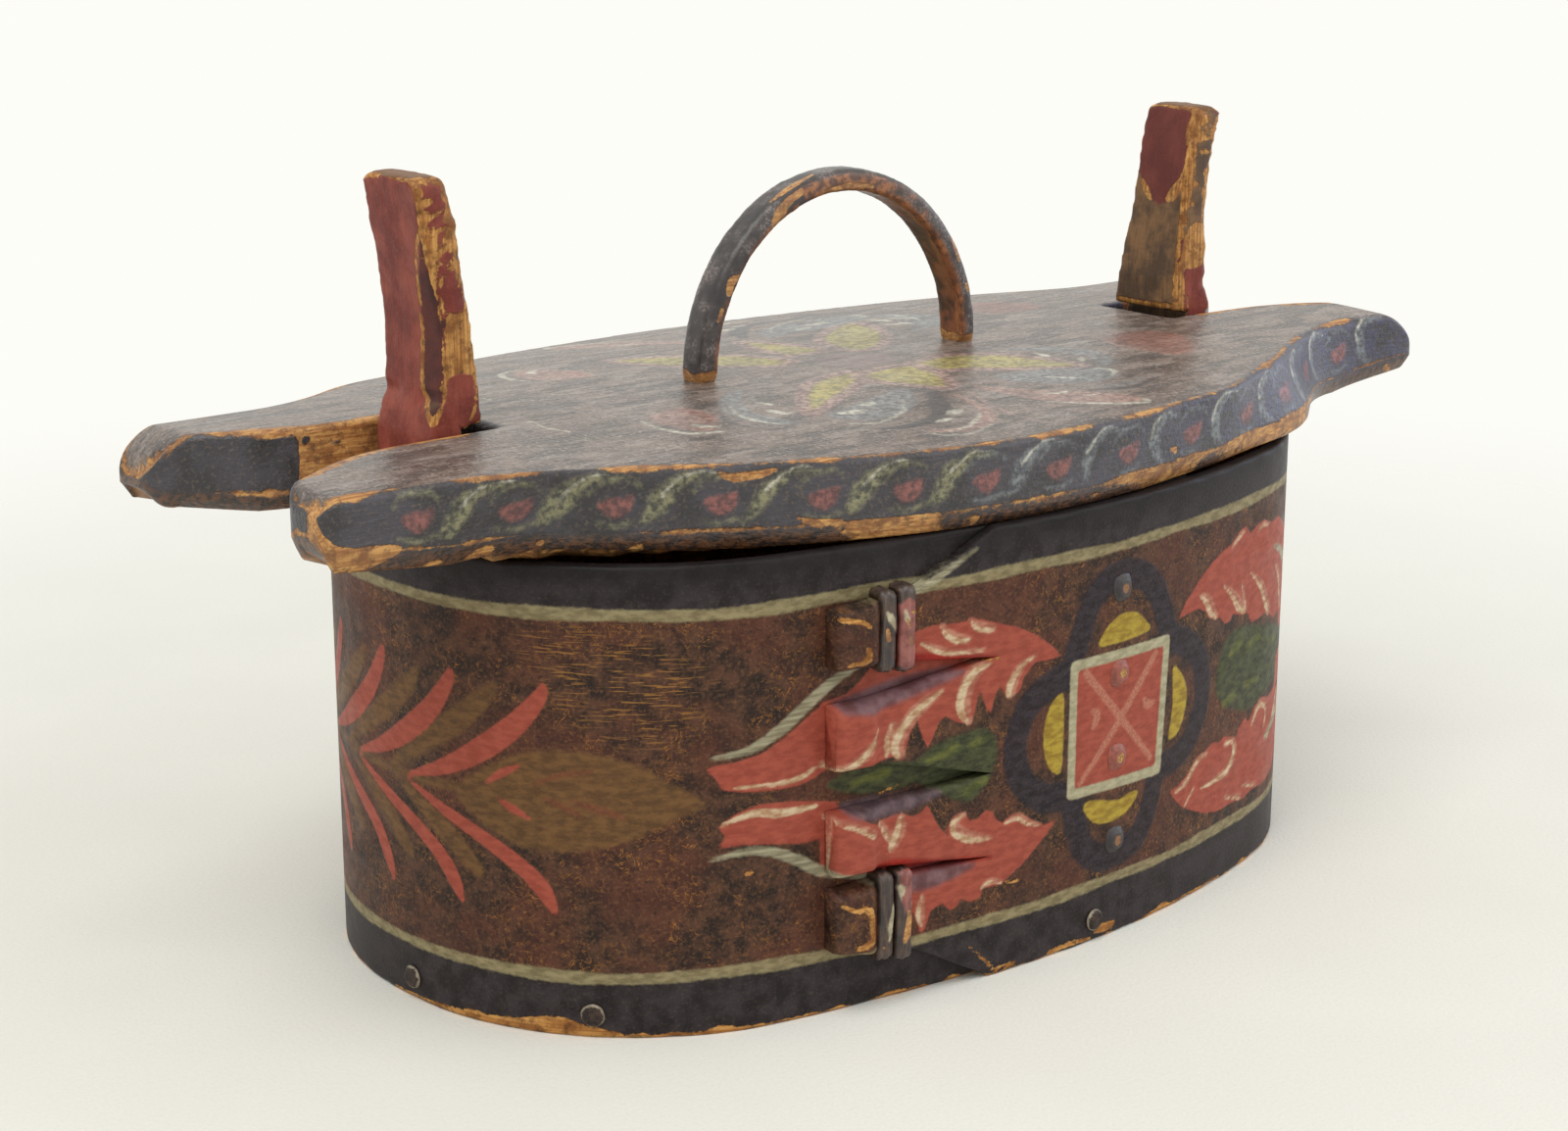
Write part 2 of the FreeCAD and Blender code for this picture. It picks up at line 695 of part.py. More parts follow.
def lid_quarter():
    """One quarter of the lid's outline, from the middle of the side round the horn to the slot."""
    tip, half = size("lid_half_length"), size("lid_half_width")
    neck_x, neck_y, hollow = tip - size("horn_length"), size("horn_half_width"), size("neck_radius")
    drop = half - neck_y
    bulge = (neck_x ** 2 + (hollow - drop) ** 2 - hollow ** 2) / (2 * drop)
    meet = math.atan2(neck_y + hollow - (half - bulge), neck_x)
    curves = [arc(0, half - bulge, bulge, math.pi / 2, meet),
              arc(neck_x, neck_y + hollow, hollow, meet + math.pi, 1.5 * math.pi)]
    slot, slot_end = size("slot_half_width"), size("slot_end")
    outline = [(neck_x, neck_y), (tip, neck_y), (tip, size("horn_tip_inner")),
               (tip - size("slot_flare_length"), slot + size("slot_flare_widening")),
               (slot_end, slot), (slot_end, 0)]
    radii = [0, size("horn_outer_round"), size("horn_inner_round"), size("slot_flare_radius"),
             size("slot_end_round"), 0]
    return curves + rounded(outline, radii)


def lid_outline():
    edges = []
    for side_x, side_y in ((1, 1), (1, -1), (-1, -1), (-1, 1)):
        run = [mirrored(edge, side_x, side_y) for edge in lid_quarter()]
        edges += run if side_x * side_y > 0 else run[::-1]
    return edges


def mirrored(edge, side_x, side_y):
    """The same straight line or arc in the quadrant that the two signs name."""
    first, last = edge.FirstParameter, edge.LastParameter
    picks = [edge.valueAt(first + share * (last - first)) for share in (0, 0.5, 1)]
    picks = [Vector(side_x * p.x, side_y * p.y, 0) for p in picks]
    if edge.Curve.TypeId == "Part::GeomLine":
        return line(picks[0], picks[2])
    return Part.Arc(*picks).toShape()


def make_lid():
    """The lid: its outline cut from a board cupped across its width, with an eased lower edge."""
    body = DOC.addObject("PartDesign::Body", "lid_body")
    sketch = new_sketch(body, "XY_Plane", "lid_sketch")
    draw_closed(sketch, as_curves(lid_outline()))
    new_pad(body, sketch, "lid_pad", "3 * $lid_thickness")
    bind(body, ".Placement.Base.z", "$lid_top - 2 * $lid_thickness")
    board = cupped_board("lid_board")
    slab = DOC.addObject("Part::Common", "lid_slab")
    slab.Base, slab.Tool = body, board
    DOC.recompute()
    eased = DOC.addObject("Part::Chamfer", "lid_eased")
    eased.Base = slab
    depth, height = size("lid_chamfer_depth"), size("lid_chamfer_height")
    eased.Edges = [(number, depth, height) for number in rim_edges(slab.Shape)]
    return eased


def rim_edges(shape):
    """Numbers of the edges round the outside of the lid's underside."""
    underside = next(f for f in shape.Faces if f.Surface.TypeId == "Part::GeomCylinder"
                     and abs(f.Surface.Radius - size("lid_under_radius")) < 0.01)
    inner = size("horn_tip_inner")
    return [number for number, edge in enumerate(shape.Edges, start=1)
            if any(edge.isSame(other) for other in underside.Edges) and abs(edge.CenterOfMass.y) > inner]


def cupped_board(name):
    """A slab between two cylinders along the box, crowned upwards."""
    hull = DOC.addObject("Part::Cylinder", f"{name}_top")
    hollow = DOC.addObject("Part::Cylinder", f"{name}_underside")
    for cylinder, radius in ((hull, "$lid_crown_radius"), (hollow, "$lid_under_radius")):
        cylinder.Placement = FreeCAD.Placement(Vector(), FreeCAD.Rotation(Vector(0, 1, 0), 90))
        bind(cylinder, "Radius", radius)
        bind(cylinder, "Height", "2.2 * $lid_half_length")
        bind(cylinder, ".Placement.Base.x", "-1.1 * $lid_half_length")
        bind(cylinder, ".Placement.Base.z", "$lid_top - $lid_crown_radius")
    return cut(name, hull, hollow)


def horn_tools():
    """What is planed off the underside towards the tips of the horns."""
    tip, thick, reach = size("lid_half_length"), size("lid_thickness"), size("lid_half_width")
    begin, rise = tip - size("horn_rise_length"), size("horn_rise")
    under = (size("lid_top") - size("lid_crown_radius")
             + math.sqrt(size("lid_under_radius") ** 2 - size("horn_half_width") ** 2))
    outline = [(begin, under), (tip, under + rise), (tip + thick, under + rise),
               (tip + thick, under - thick), (begin, under - thick)]
    return [prism([(side * x, z) for x, z in outline], -reach, reach) for _, side in SIDES]


# ---------------------------------------------------------------- handle
def upper_half(reach, height, seat):
    """The upper half of an ellipse in a sketch, from its right foot over to its left foot."""
    centre, top = Vector(0, seat, 0), Vector(0, seat + height, 0)
    right, left = Vector(reach, seat, 0), Vector(-reach, seat, 0)
    ellipse = Part.Ellipse(top, left, centre) if height > reach else Part.Ellipse(right, top, centre)
    start, stop = ellipse.parameter(right), ellipse.parameter(left)
    return Part.ArcOfEllipse(ellipse, start, stop if stop > start else stop + 2 * math.pi)


def make_handle():
    body = DOC.addObject("PartDesign::Body", "handle_body")
    sketch = new_sketch(body, "XZ_Plane", "handle_arch")
    span, half = size("handle_half_span"), size("handle_thickness") / 2
    seat, rise = size("lid_top") + size("handle_seat_gap"), size("handle_rise")
    outer, inner = span + half, span - half
    sketch.addGeometry([upper_half(outer, rise + half, seat), upper_half(inner, rise - half, seat),
                        Part.LineSegment(Vector(-outer, seat, 0), Vector(-inner, seat, 0)),
                        Part.LineSegment(Vector(inner, seat, 0), Vector(outer, seat, 0))], False)
    pad = new_pad(body, sketch, "handle_pad", "$handle_width", midplane=True)
    DOC.recompute()
    for name, radius, outside in (("outer", "$handle_outer_round", True),
                                  ("inner", "$handle_inner_round", False)):
        arches = [f"Edge{i}" for i, e in enumerate(pad.Shape.Edges, 1)
                  if e.Curve.TypeId == "Part::GeomEllipse"
                  and (e.BoundBox.XLength > 2 * span - 0.1) == outside and e.BoundBox.YLength < 0.1]
        easing = body.newObject("PartDesign::Fillet", f"handle_{name}_rounding")
        easing.Base = (pad, arches)
        bind(easing, "Radius", radius)
        DOC.recompute()
        pad = easing
    tenons = new_sketch(body, "XZ_Plane", "handle_tenons")
    cheek, foot = half - size("handle_shoulder"), size("handle_foot")
    for side in (1, -1):
        near, far = side * span - cheek, side * span + cheek
        tenons.addGeometry(polygon([(near, foot), (far, foot), (far, seat), (near, seat)]), False)
    new_pad(body, tenons, "handle_tenon_pad", "$handle_width - 2 * $handle_shoulder", midplane=True)
    DOC.recompute()
    return body


def wedge_shape(side):
    """A thin wedge driven up into the foot of the handle, thick end down."""
    thick, thin, low = size("wedge_thick") / 2, size("wedge_thin") / 2, size("handle_foot")
    high = low + size("wedge_length")
    centre, half = side * size("handle_half_span"), size("handle_width") / 2 - size("handle_shoulder")
    return prism([(centre - thick, low), (centre + thick, low), (centre + thin, high),
                  (centre - thin, high)], -half, half)


# ---------------------------------------------------------------- lid with its handle
def make_lid_group():
    """Lid, handle and the two wedges that hold it."""
    lid_blank, handle_blank = make_lid(), make_handle()
    fit, shoulder = size("handle_fit"), size("handle_shoulder")
    half = size("handle_thickness") / 2 - shoulder
    wide = size("handle_width") / 2 - shoulder + fit
    holes = [Part.makeBox(2 * (half + fit), 2 * wide, 3 * size("lid_thickness"),
                          Vector(side * size("handle_half_span") - half - fit, -wide,
                                 size("lid_top") - 2 * size("lid_thickness")))
             for _, side in SIDES]
    lid = cut("lid_cut", lid_blank, feature("lid_tools", Part.makeCompound(holes + horn_tools())))
    lid.Label = "lid"
    kerfs = feature("wedge_kerfs", Part.makeCompound([wedge_shape(side) for _, side in SIDES]))
    handle = cut("handle_cut", handle_blank, kerfs)
    handle.Label = "handle"
    wedges = []
    for name, side in SIDES:
        wedge = feature(f"wedge_{name}", wedge_shape(side))
        wedge.Label = f"handle_wedge_{name}"
        wedges.append(wedge)
    return [lid, handle] + wedges


# ---------------------------------------------------------------- assembly and export
def build():
    nodes = [make_band(), make_base()]
    nodes += [make_nail(number, spot) for number, spot in enumerate(nail_spots(), start=1)]
    nodes += [make_peg(number, height) for number, height in enumerate(peg_heights(), start=1)]
    nodes += [make_lashing("lashing_top", 1), make_lashing("lashing_bottom", 4)]
    nodes += [make_post(f"post_{name}", side) for name, side in SIDES]
    nodes += make_lid_group()
    DOC.recompute()
    return nodes


def check(nodes):
    failed = [o.Name for o in DOC.Objects if {"Invalid", "Error"} & set(o.State)]
    failed += [n.Label for n in nodes if n.Shape.isNull() or not n.Shape.isValid()]
    if failed:
        raise RuntimeError("failed: " + ", ".join(failed))


NODES = build()
check(NODES)
os.makedirs("parts", exist_ok=True)
for node in NODES:
    node.Shape.exportStep(f"parts/{node.Label}.step")
    print(f"{node.Label:22s} solids {len(node.Shape.Solids)} volume {node.Shape.Volume:10.1f}")
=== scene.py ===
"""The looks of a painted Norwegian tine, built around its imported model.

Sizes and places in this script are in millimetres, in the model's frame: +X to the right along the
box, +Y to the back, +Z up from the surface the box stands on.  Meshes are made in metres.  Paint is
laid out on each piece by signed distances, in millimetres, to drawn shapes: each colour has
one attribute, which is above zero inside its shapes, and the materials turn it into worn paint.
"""

import math

import bmesh
import bpy
import numpy as np
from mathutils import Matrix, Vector
from mathutils.geometry import delaunay_2d_cdt


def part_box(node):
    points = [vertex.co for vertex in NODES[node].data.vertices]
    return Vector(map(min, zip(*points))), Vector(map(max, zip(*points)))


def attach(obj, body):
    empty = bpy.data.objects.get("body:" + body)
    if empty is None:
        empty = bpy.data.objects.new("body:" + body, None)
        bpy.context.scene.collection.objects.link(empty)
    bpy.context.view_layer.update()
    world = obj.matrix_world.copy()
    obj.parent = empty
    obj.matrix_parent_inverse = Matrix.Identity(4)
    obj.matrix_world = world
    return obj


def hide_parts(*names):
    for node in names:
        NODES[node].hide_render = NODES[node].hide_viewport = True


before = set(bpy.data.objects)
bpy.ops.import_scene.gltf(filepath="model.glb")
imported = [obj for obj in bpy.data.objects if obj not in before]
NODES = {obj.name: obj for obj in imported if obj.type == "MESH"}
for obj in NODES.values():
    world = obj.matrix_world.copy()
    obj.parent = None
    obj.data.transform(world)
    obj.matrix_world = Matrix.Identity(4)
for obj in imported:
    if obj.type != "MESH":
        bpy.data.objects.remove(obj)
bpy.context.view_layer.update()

MM = 0.001


# ======== the frame's own sizes
def node_box(name):
    """Lowest and highest corner of a CAD node, in millimetres."""
    low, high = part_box(name)
    return np.array(low) / MM, np.array(high) / MM


BAND_HIGH, LID_HIGH = node_box("band")[1], node_box("lid")[1]

# the band's oval, one strip whose outer end laps over its inner end at the front
HALF_LENGTH = BAND_HIGH[0]
FULL = BAND_HIGH[1]
HEIGHT = BAND_HIGH[2]
END_FLATNESS = 16.2
END_ANGLE = math.radians(5.7)
CORNER_DROP = 11.7
WALL = 3.0
LAP_GAP = 0.2
LAPPED = FULL - WALL - LAP_GAP
INNER_REACH = 45.0

# the four tongues, the lowest first: lower and upper edge at the tip, and the notches' roots
TONGUES = ((14.5, 27.5), (31.0, 44.0), (53.5, 66.5), (74.5, 86.5))
NOTCH_ROOTS = (27.1, 45.5, 70.7)
TONGUE_ROOT, TONGUE_HEEL, TONGUE_REACH = 20.0, 50.6, 60.0
HEAD_PROUD, SCOOP_AHEAD, SCOOP_LENGTH = 2.4, 2.2, 3.0
TIP_DROP, TIP_LENGTH = 0.9, 1.2
SHOULDER = 0.4
LAP_TOP_CORNER, LAP_LOW_CORNER = 88.3, 11.0
LAP_LOW_HEEL = 12.8

# the lid, cut from a cupped board
LID_TOP = LID_HIGH[2]
LID_HALF_LENGTH, LID_HALF_WIDTH = LID_HIGH[0], LID_HIGH[1]
LID_THICKNESS = 17.0
CROWN = 660.0
CHAMFER_HEIGHT, CHAMFER_DEPTH = 4.2, 1.6
HORN_LENGTH, HORN_HALF_WIDTH, HORN_TIP_INNER = 31.0, 40.8, 27.0
HORN_OUTER_ROUND, HORN_INNER_ROUND = 3.0, 7.0
HORN_RISE_LENGTH, HORN_RISE = 29.0, 3.2
NECK_RADIUS = 45.0
SLOT_END, SLOT_HALF_WIDTH, SLOT_END_ROUND = 99.0, 11.4, 1.0
FLARE_LENGTH, FLARE_WIDENING, FLARE_RADIUS = 23.0, 1.4, 45.0

# roots, pegs and nails
ROOT_FIRST, ROOT_PITCH, ROOT_WIDTH, ROOT_THICKNESS = 47.9, 4.7, 4.0, 1.3
ROOT_SLACK, ROOT_PLAY = 0.15, 0.25


# ======== plane geometry
def share_of(values):
    """Values held between 0 and 1."""
    return np.clip(values, 0, 1)


def spaced(start, stop, step):
    """Numbers from start to stop, both included, about a step apart."""
    count = max(1, int(round(abs(stop - start) / step)))
    return np.linspace(start, stop, count + 1)


def arc_points(centre, radius, start, stop, step):
    angles = spaced(start, stop, step / radius)
    return np.stack([centre[0] + radius * np.cos(angles), centre[1] + radius * np.sin(angles)], 1)


def line_points(start, stop, step):
    start, stop = np.array(start, float), np.array(stop, float)
    shares = spaced(0, 1, step / max(np.linalg.norm(stop - start), step))
    return start + shares[:, None] * (stop - start)


def joined(runs):
    """One polyline from runs that each start where the last one stopped."""
    return np.concatenate([runs[0]] + [run[1:] for run in runs[1:]])


def rounded_path(points, radii, step):
    """Straight runs through the points, with each corner rounded to its radius."""
    runs, here = [], np.array(points[0], float)
    for before, corner, after, radius in zip(points, points[1:], points[2:], radii):
        corner = np.array(corner, float)
        back = np.array(before, float) - corner
        ahead = np.array(after, float) - corner
        back, ahead = back / np.linalg.norm(back), ahead / np.linalg.norm(ahead)
        half_turn = math.acos(np.clip(back @ ahead, -1, 1)) / 2
        reach = radius / math.tan(half_turn)
        start, stop = corner + back * reach, corner + ahead * reach
        middle = (back + ahead) / np.linalg.norm(back + ahead)
        centre = corner + middle * (radius / math.sin(half_turn))
        first = math.atan2(*(start - centre)[::-1])
        turn = math.atan2(*(stop - centre)[::-1]) - first
        turn = (turn + math.pi) % (2 * math.pi) - math.pi
        runs.append(line_points(here, start, step))
        runs.append(arc_points(centre, radius, first, first + turn, min(step, radius / 3)))
        here = stop
    runs.append(line_points(here, points[-1], step))
    return joined(runs)


def walked(outline):
    """Distance along a polyline at each of its points."""
    steps = np.linalg.norm(np.diff(outline, axis=0), axis=1)
    return np.concatenate([[0.0], np.cumsum(steps)])


def closed_normals(outline):
    """Outward direction at each point of a closed polyline that runs anticlockwise."""
    along = np.roll(outline, -1, 0) - np.roll(outline, 1, 0)
    along /= np.linalg.norm(along, axis=1)[:, None]
    return np.stack([along[:, 1], -along[:, 0]], 1)


def segment_distance(points, start, stop):
    """Distance of points from a straight segment, and how far along it the nearest place is."""
    along = stop - start
    share = share_of((points - start) @ along / max(along @ along, 1e-12))
    return np.linalg.norm(points - start - share[:, None] * along, axis=1), share


def inside_polygon(points, polygon):
    """Whether points are inside a closed polyline, by counting crossings."""
    inside = np.zeros(len(points), bool)
    x, y = points[:, 0], points[:, 1]
    for (x0, y0), (x1, y1) in zip(polygon, np.roll(polygon, -1, 0)):
        if y0 == y1:
            continue
        crosses = (y0 > y) != (y1 > y)
        inside ^= crosses & (x < (x1 - x0) * (y - y0) / (y1 - y0) + x0)
    return inside


# ======== smooth random fields
def wobble(coordinates, scale, seed, octaves=2):
    """Smooth random numbers from about -1 to 1 at points in any number of dimensions."""
    random = np.random.default_rng(seed)
    total, weight = np.zeros(len(coordinates)), 0.0
    for octave in range(octaves):
        for _ in range(6):
            wave = random.normal(size=coordinates.shape[1]) * 2.2 ** octave / scale
            total += 0.5 ** octave * np.sin(coordinates @ wave * 2.4 + random.uniform(0, 2 * math.pi))
        weight += 6 * 0.25 ** octave / 2
    return total / math.sqrt(weight) / 1.6


# ======== the band's oval
def oval_arcs(half_width):
    """Centre, radius, first and last angle of the end, corner and side arc of one quarter."""
    end, corner = FULL + END_FLATNESS, FULL - CORNER_DROP
    corner_x = HALF_LENGTH - end + (end - corner) * math.cos(END_ANGLE)
    corner_y = (end - corner) * math.sin(END_ANGLE)
    rise = half_width - corner_y
    side = (corner_x ** 2 + rise ** 2 - corner ** 2) / (2 * (rise - corner))
    second = math.acos(corner_x / (side - corner))
    return [(HALF_LENGTH - end, 0.0, end, 0.0, END_ANGLE),
            (corner_x, corner_y, corner, END_ANGLE, second),
            (0.0, half_width - side, side, second, math.pi / 2)]


def quarter_length(half_width):
    return sum(radius * (last - first) for _, _, radius, first, last in oval_arcs(half_width))


def on_oval(half_width, distances, side_x, side_y):
    """Points and outward directions at distances along the oval from the middle of a long side."""
    distances = np.atleast_1d(np.asarray(distances, float))
    centres, radii, angles = (np.zeros(shape) for shape in
                              ((len(distances), 2), len(distances), len(distances)))
    start = 0.0
    for x, y, radius, first, last in reversed(oval_arcs(half_width)):
        use = distances >= start - 1e-9
        centres[use] = x, y
        radii[use] = radius
        angles[use] = last - (distances[use] - start) / radius
        start += radius * (last - first)
    directions = np.stack([side_x * np.cos(angles), side_y * np.sin(angles)], 1)
    return centres * (side_x, side_y) + radii[:, None] * directions, directions


FULL_QUARTER, LAPPED_QUARTER = quarter_length(FULL), quarter_length(LAPPED)
STRIP_LENGTH = 3 * FULL_QUARTER + LAPPED_QUARTER


# ======== meshes
def new_piece(name, vertices, faces, body, replaced=(), attributes=None):
    """A mesh object from points in millimetres, riding on a body in place of CAD nodes."""
    mesh = bpy.data.meshes.new(name)
    mesh.from_pydata((np.asarray(vertices) * MM).tolist(), [], [tuple(map(int, f)) for f in faces])
    for key, values in (attributes or {}).items():
        add_attribute(mesh, key, values)
    return as_piece(name, mesh, body, replaced)


def as_piece(name, mesh, body, replaced=()):
    piece = bpy.data.objects.new(name, mesh)
    bpy.context.scene.collection.objects.link(piece)
    mesh.shade_smooth()
    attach(piece, body)
    if replaced:
        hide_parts(*replaced)
    return piece


def add_attribute(mesh, name, values):
    values = np.asarray(values, np.float32)
    kind = "FLOAT" if values.ndim == 1 else "FLOAT_VECTOR"
    attribute = mesh.attributes.get(name) or mesh.attributes.new(name, kind, "POINT")
    attribute.data.foreach_set("value" if kind == "FLOAT" else "vector", values.ravel())


def fetched(items, key, width):
    """A property of each item of a mesh, as rows of numbers."""
    values = np.zeros(len(items) * width, np.float32)
    items.foreach_get(key, values)
    return values.reshape(-1, width).astype(float)


def read_attribute(mesh, name):
    attribute = mesh.attributes[name]
    if attribute.data_type == "FLOAT":
        return fetched(attribute.data, "value", 1)[:, 0]
    return fetched(attribute.data, "vector", 3)


def vertex_places(mesh):
    return fetched(mesh.vertices, "co", 3) / MM


def vertex_normals(mesh):
    return fetched(mesh.vertex_normals, "vector", 3)


def move_vertices(mesh, places):
    mesh.vertices.foreach_set("co", (places * MM).astype(np.float32).ravel())
    mesh.update()


def grid_faces(rows, columns, first=0, close_columns=False, close_rows=False):
    """Quads of a grid of points numbered row by row."""
    index = first + np.arange(rows * columns).reshape(rows, columns)
    if close_rows:
        index = np.concatenate([index, index[:1]])
    if close_columns:
        index = np.concatenate([index, index[:, :1]], 1)
    corners = index[:-1, :-1], index[:-1, 1:], index[1:, 1:], index[1:, :-1]
    return np.stack([c.ravel() for c in corners], 1).tolist()


def reworked(mesh, operation):
    """Run an operation on a mesh's points and edges, then turn all its faces outwards."""
    work = bmesh.new()
    work.from_mesh(mesh)
    operation(work)
    bmesh.ops.recalc_face_normals(work, faces=work.faces)
    work.to_mesh(mesh)
    work.free()
    mesh.shade_smooth()


def weld(mesh, distance=0.002):
    """Join points that lie in the same place."""
    reworked(mesh, lambda work: bmesh.ops.remove_doubles(work, verts=work.verts, dist=distance * MM))


def close_holes(mesh):
    """Fill every open loop of a mesh's border with a face."""
    reworked(mesh, lambda work: bmesh.ops.holes_fill(
        work, edges=[edge for edge in work.edges if len(edge.link_faces) == 1], sides=0))


def remeshed_copy(name, voxel):
    """An even, slightly softened mesh of a CAD node."""
    work = bpy.data.objects.new(name + "_work", NODES[name].data.copy())
    bpy.context.scene.collection.objects.link(work)
    remesh = work.modifiers.new("even", "REMESH")
    remesh.mode = "VOXEL"
    remesh.voxel_size = voxel * MM
    smooth = work.modifiers.new("soft", "SMOOTH")
    smooth.factor = 0.5
    smooth.iterations = 4
    graph = bpy.context.evaluated_depsgraph_get()
    mesh = bpy.data.meshes.new_from_object(work.evaluated_get(graph))
    bpy.data.objects.remove(work)
    mesh.name = name
    mesh.materials.clear()
    return mesh


# ======== paint laid out as distances
def smoothed(path, divisions, closed=False):
    """A Catmull-Rom curve through the points of a path."""
    if divisions <= 1 or len(path) < 3:
        return path
    before, after = (path[-1:], path[:2]) if closed else (path[:1], path[-1:])
    padded = np.concatenate([before, path, after])
    shares = np.linspace(0, 1, divisions + 1)[:-1, None]
    spans = []
    for a, b, c, d in zip(padded, padded[1:], padded[2:], padded[3:]):
        spans.append(0.5 * (2 * b + (c - a) * shares + (2 * a - 5 * b + 4 * c - d) * shares ** 2
                            + (3 * b - a - 3 * c + d) * shares ** 3))
    return np.concatenate(spans if closed else spans + [path[-1:]])


def paths_of(text):
    """Paths written as 'x y, x y | x y, x y', with a third number for a stroke's half width."""
    return [[tuple(map(float, point.split())) for point in path.split(",")]
            for path in text.split("|")]


class Paint:
    """Signed distances of each colour's shapes at the points of a piece, in millimetres.

    Shapes are drawn in a local frame; a layout can be shifted and mirrored to repeat a motif.
    """
    REACH = 5.0

    def __init__(self, places):
        self.places = places
        self.colours = {}
        self.shift, self.flip = 0.0, 1

    def layout(self, shift=0.0, flip=1):
        self.shift, self.flip = shift, flip
        return self

    def seat(self, path):
        path = np.array(path, float)
        path[:, 0] = self.shift + self.flip * path[:, 0]
        return path

    def near(self, path, margin):
        low, high = path[:, :2].min(0) - margin, path[:, :2].max(0) + margin
        return np.flatnonzero(np.all((self.places > low) & (self.places < high), axis=1))

    def raise_to(self, colour, chosen, values):
        field = self.colours.setdefault(colour, np.full(len(self.places), -self.REACH))
        field[chosen] = np.maximum(field[chosen], np.maximum(values, -self.REACH))

    def stroke(self, colour, path, smooth=4):
        """A brush stroke through (along, up, half width) points."""
        path = smoothed(self.seat(path), smooth)
        chosen = self.near(path, self.REACH + path[:, 2].max())
        values = np.full(len(chosen), -self.REACH)
        for start, stop in zip(path, path[1:]):
            distance, share = segment_distance(self.places[chosen], start[:2], stop[:2])
            values = np.maximum(values, start[2] + share * (stop[2] - start[2]) - distance)
        self.raise_to(colour, chosen, values)

    def highlight(self, path):
        """A pale stroke on a red leaf: a thin cream edge on a wider, thinner pink one."""
        self.stroke("blush", path)
        self.stroke("cream", [(x - 0.45 * half, y - 0.3 * half, 0.52 * half) for x, y, half in path])

    def fill(self, colour, outline, smooth=1):
        """A filled shape inside (along, up) points."""
        outline = smoothed(self.seat(outline), smooth, closed=True)
        chosen = self.near(outline, self.REACH)
        nearest = np.full(len(chosen), np.inf)
        for start, stop in zip(outline, np.roll(outline, -1, 0)):
            nearest = np.minimum(nearest, segment_distance(self.places[chosen], start, stop)[0])
        inside = inside_polygon(self.places[chosen], outline)
        self.raise_to(colour, chosen, np.where(inside, nearest, -nearest))

    def draw(self, drawing):
        """Paint a drawing: 'colour: x y, x y;' fills an area, 'colour: x y w, x y w;' is a stroke.

        Shapes of one colour are parted by '|', and 'colour/3' curves them with 3 steps to a span.
        """
        for part in drawing.split(";")[:-1]:
            name, shapes = part.split(":")
            colour, *smooth = name.strip().split("/")
            for path in paths_of(shapes):
                if colour == "highlight":
                    self.highlight(path)
                elif len(path[0]) == 3:
                    self.stroke(colour, path if len(path) > 1 else 2 * path, *map(int, smooth))
                else:
                    self.fill(colour, path, *map(int, smooth))
        return self

    def lift(self, colour, values):
        """Add a colour where values are above zero."""
        self.colours[colour] = np.maximum(self.colours[colour], values)

    def store(self, mesh, colours):
        for colour in colours:
            empty = np.full(len(self.places), -self.REACH)
            add_attribute(mesh, colour, self.colours.get(colour, empty))
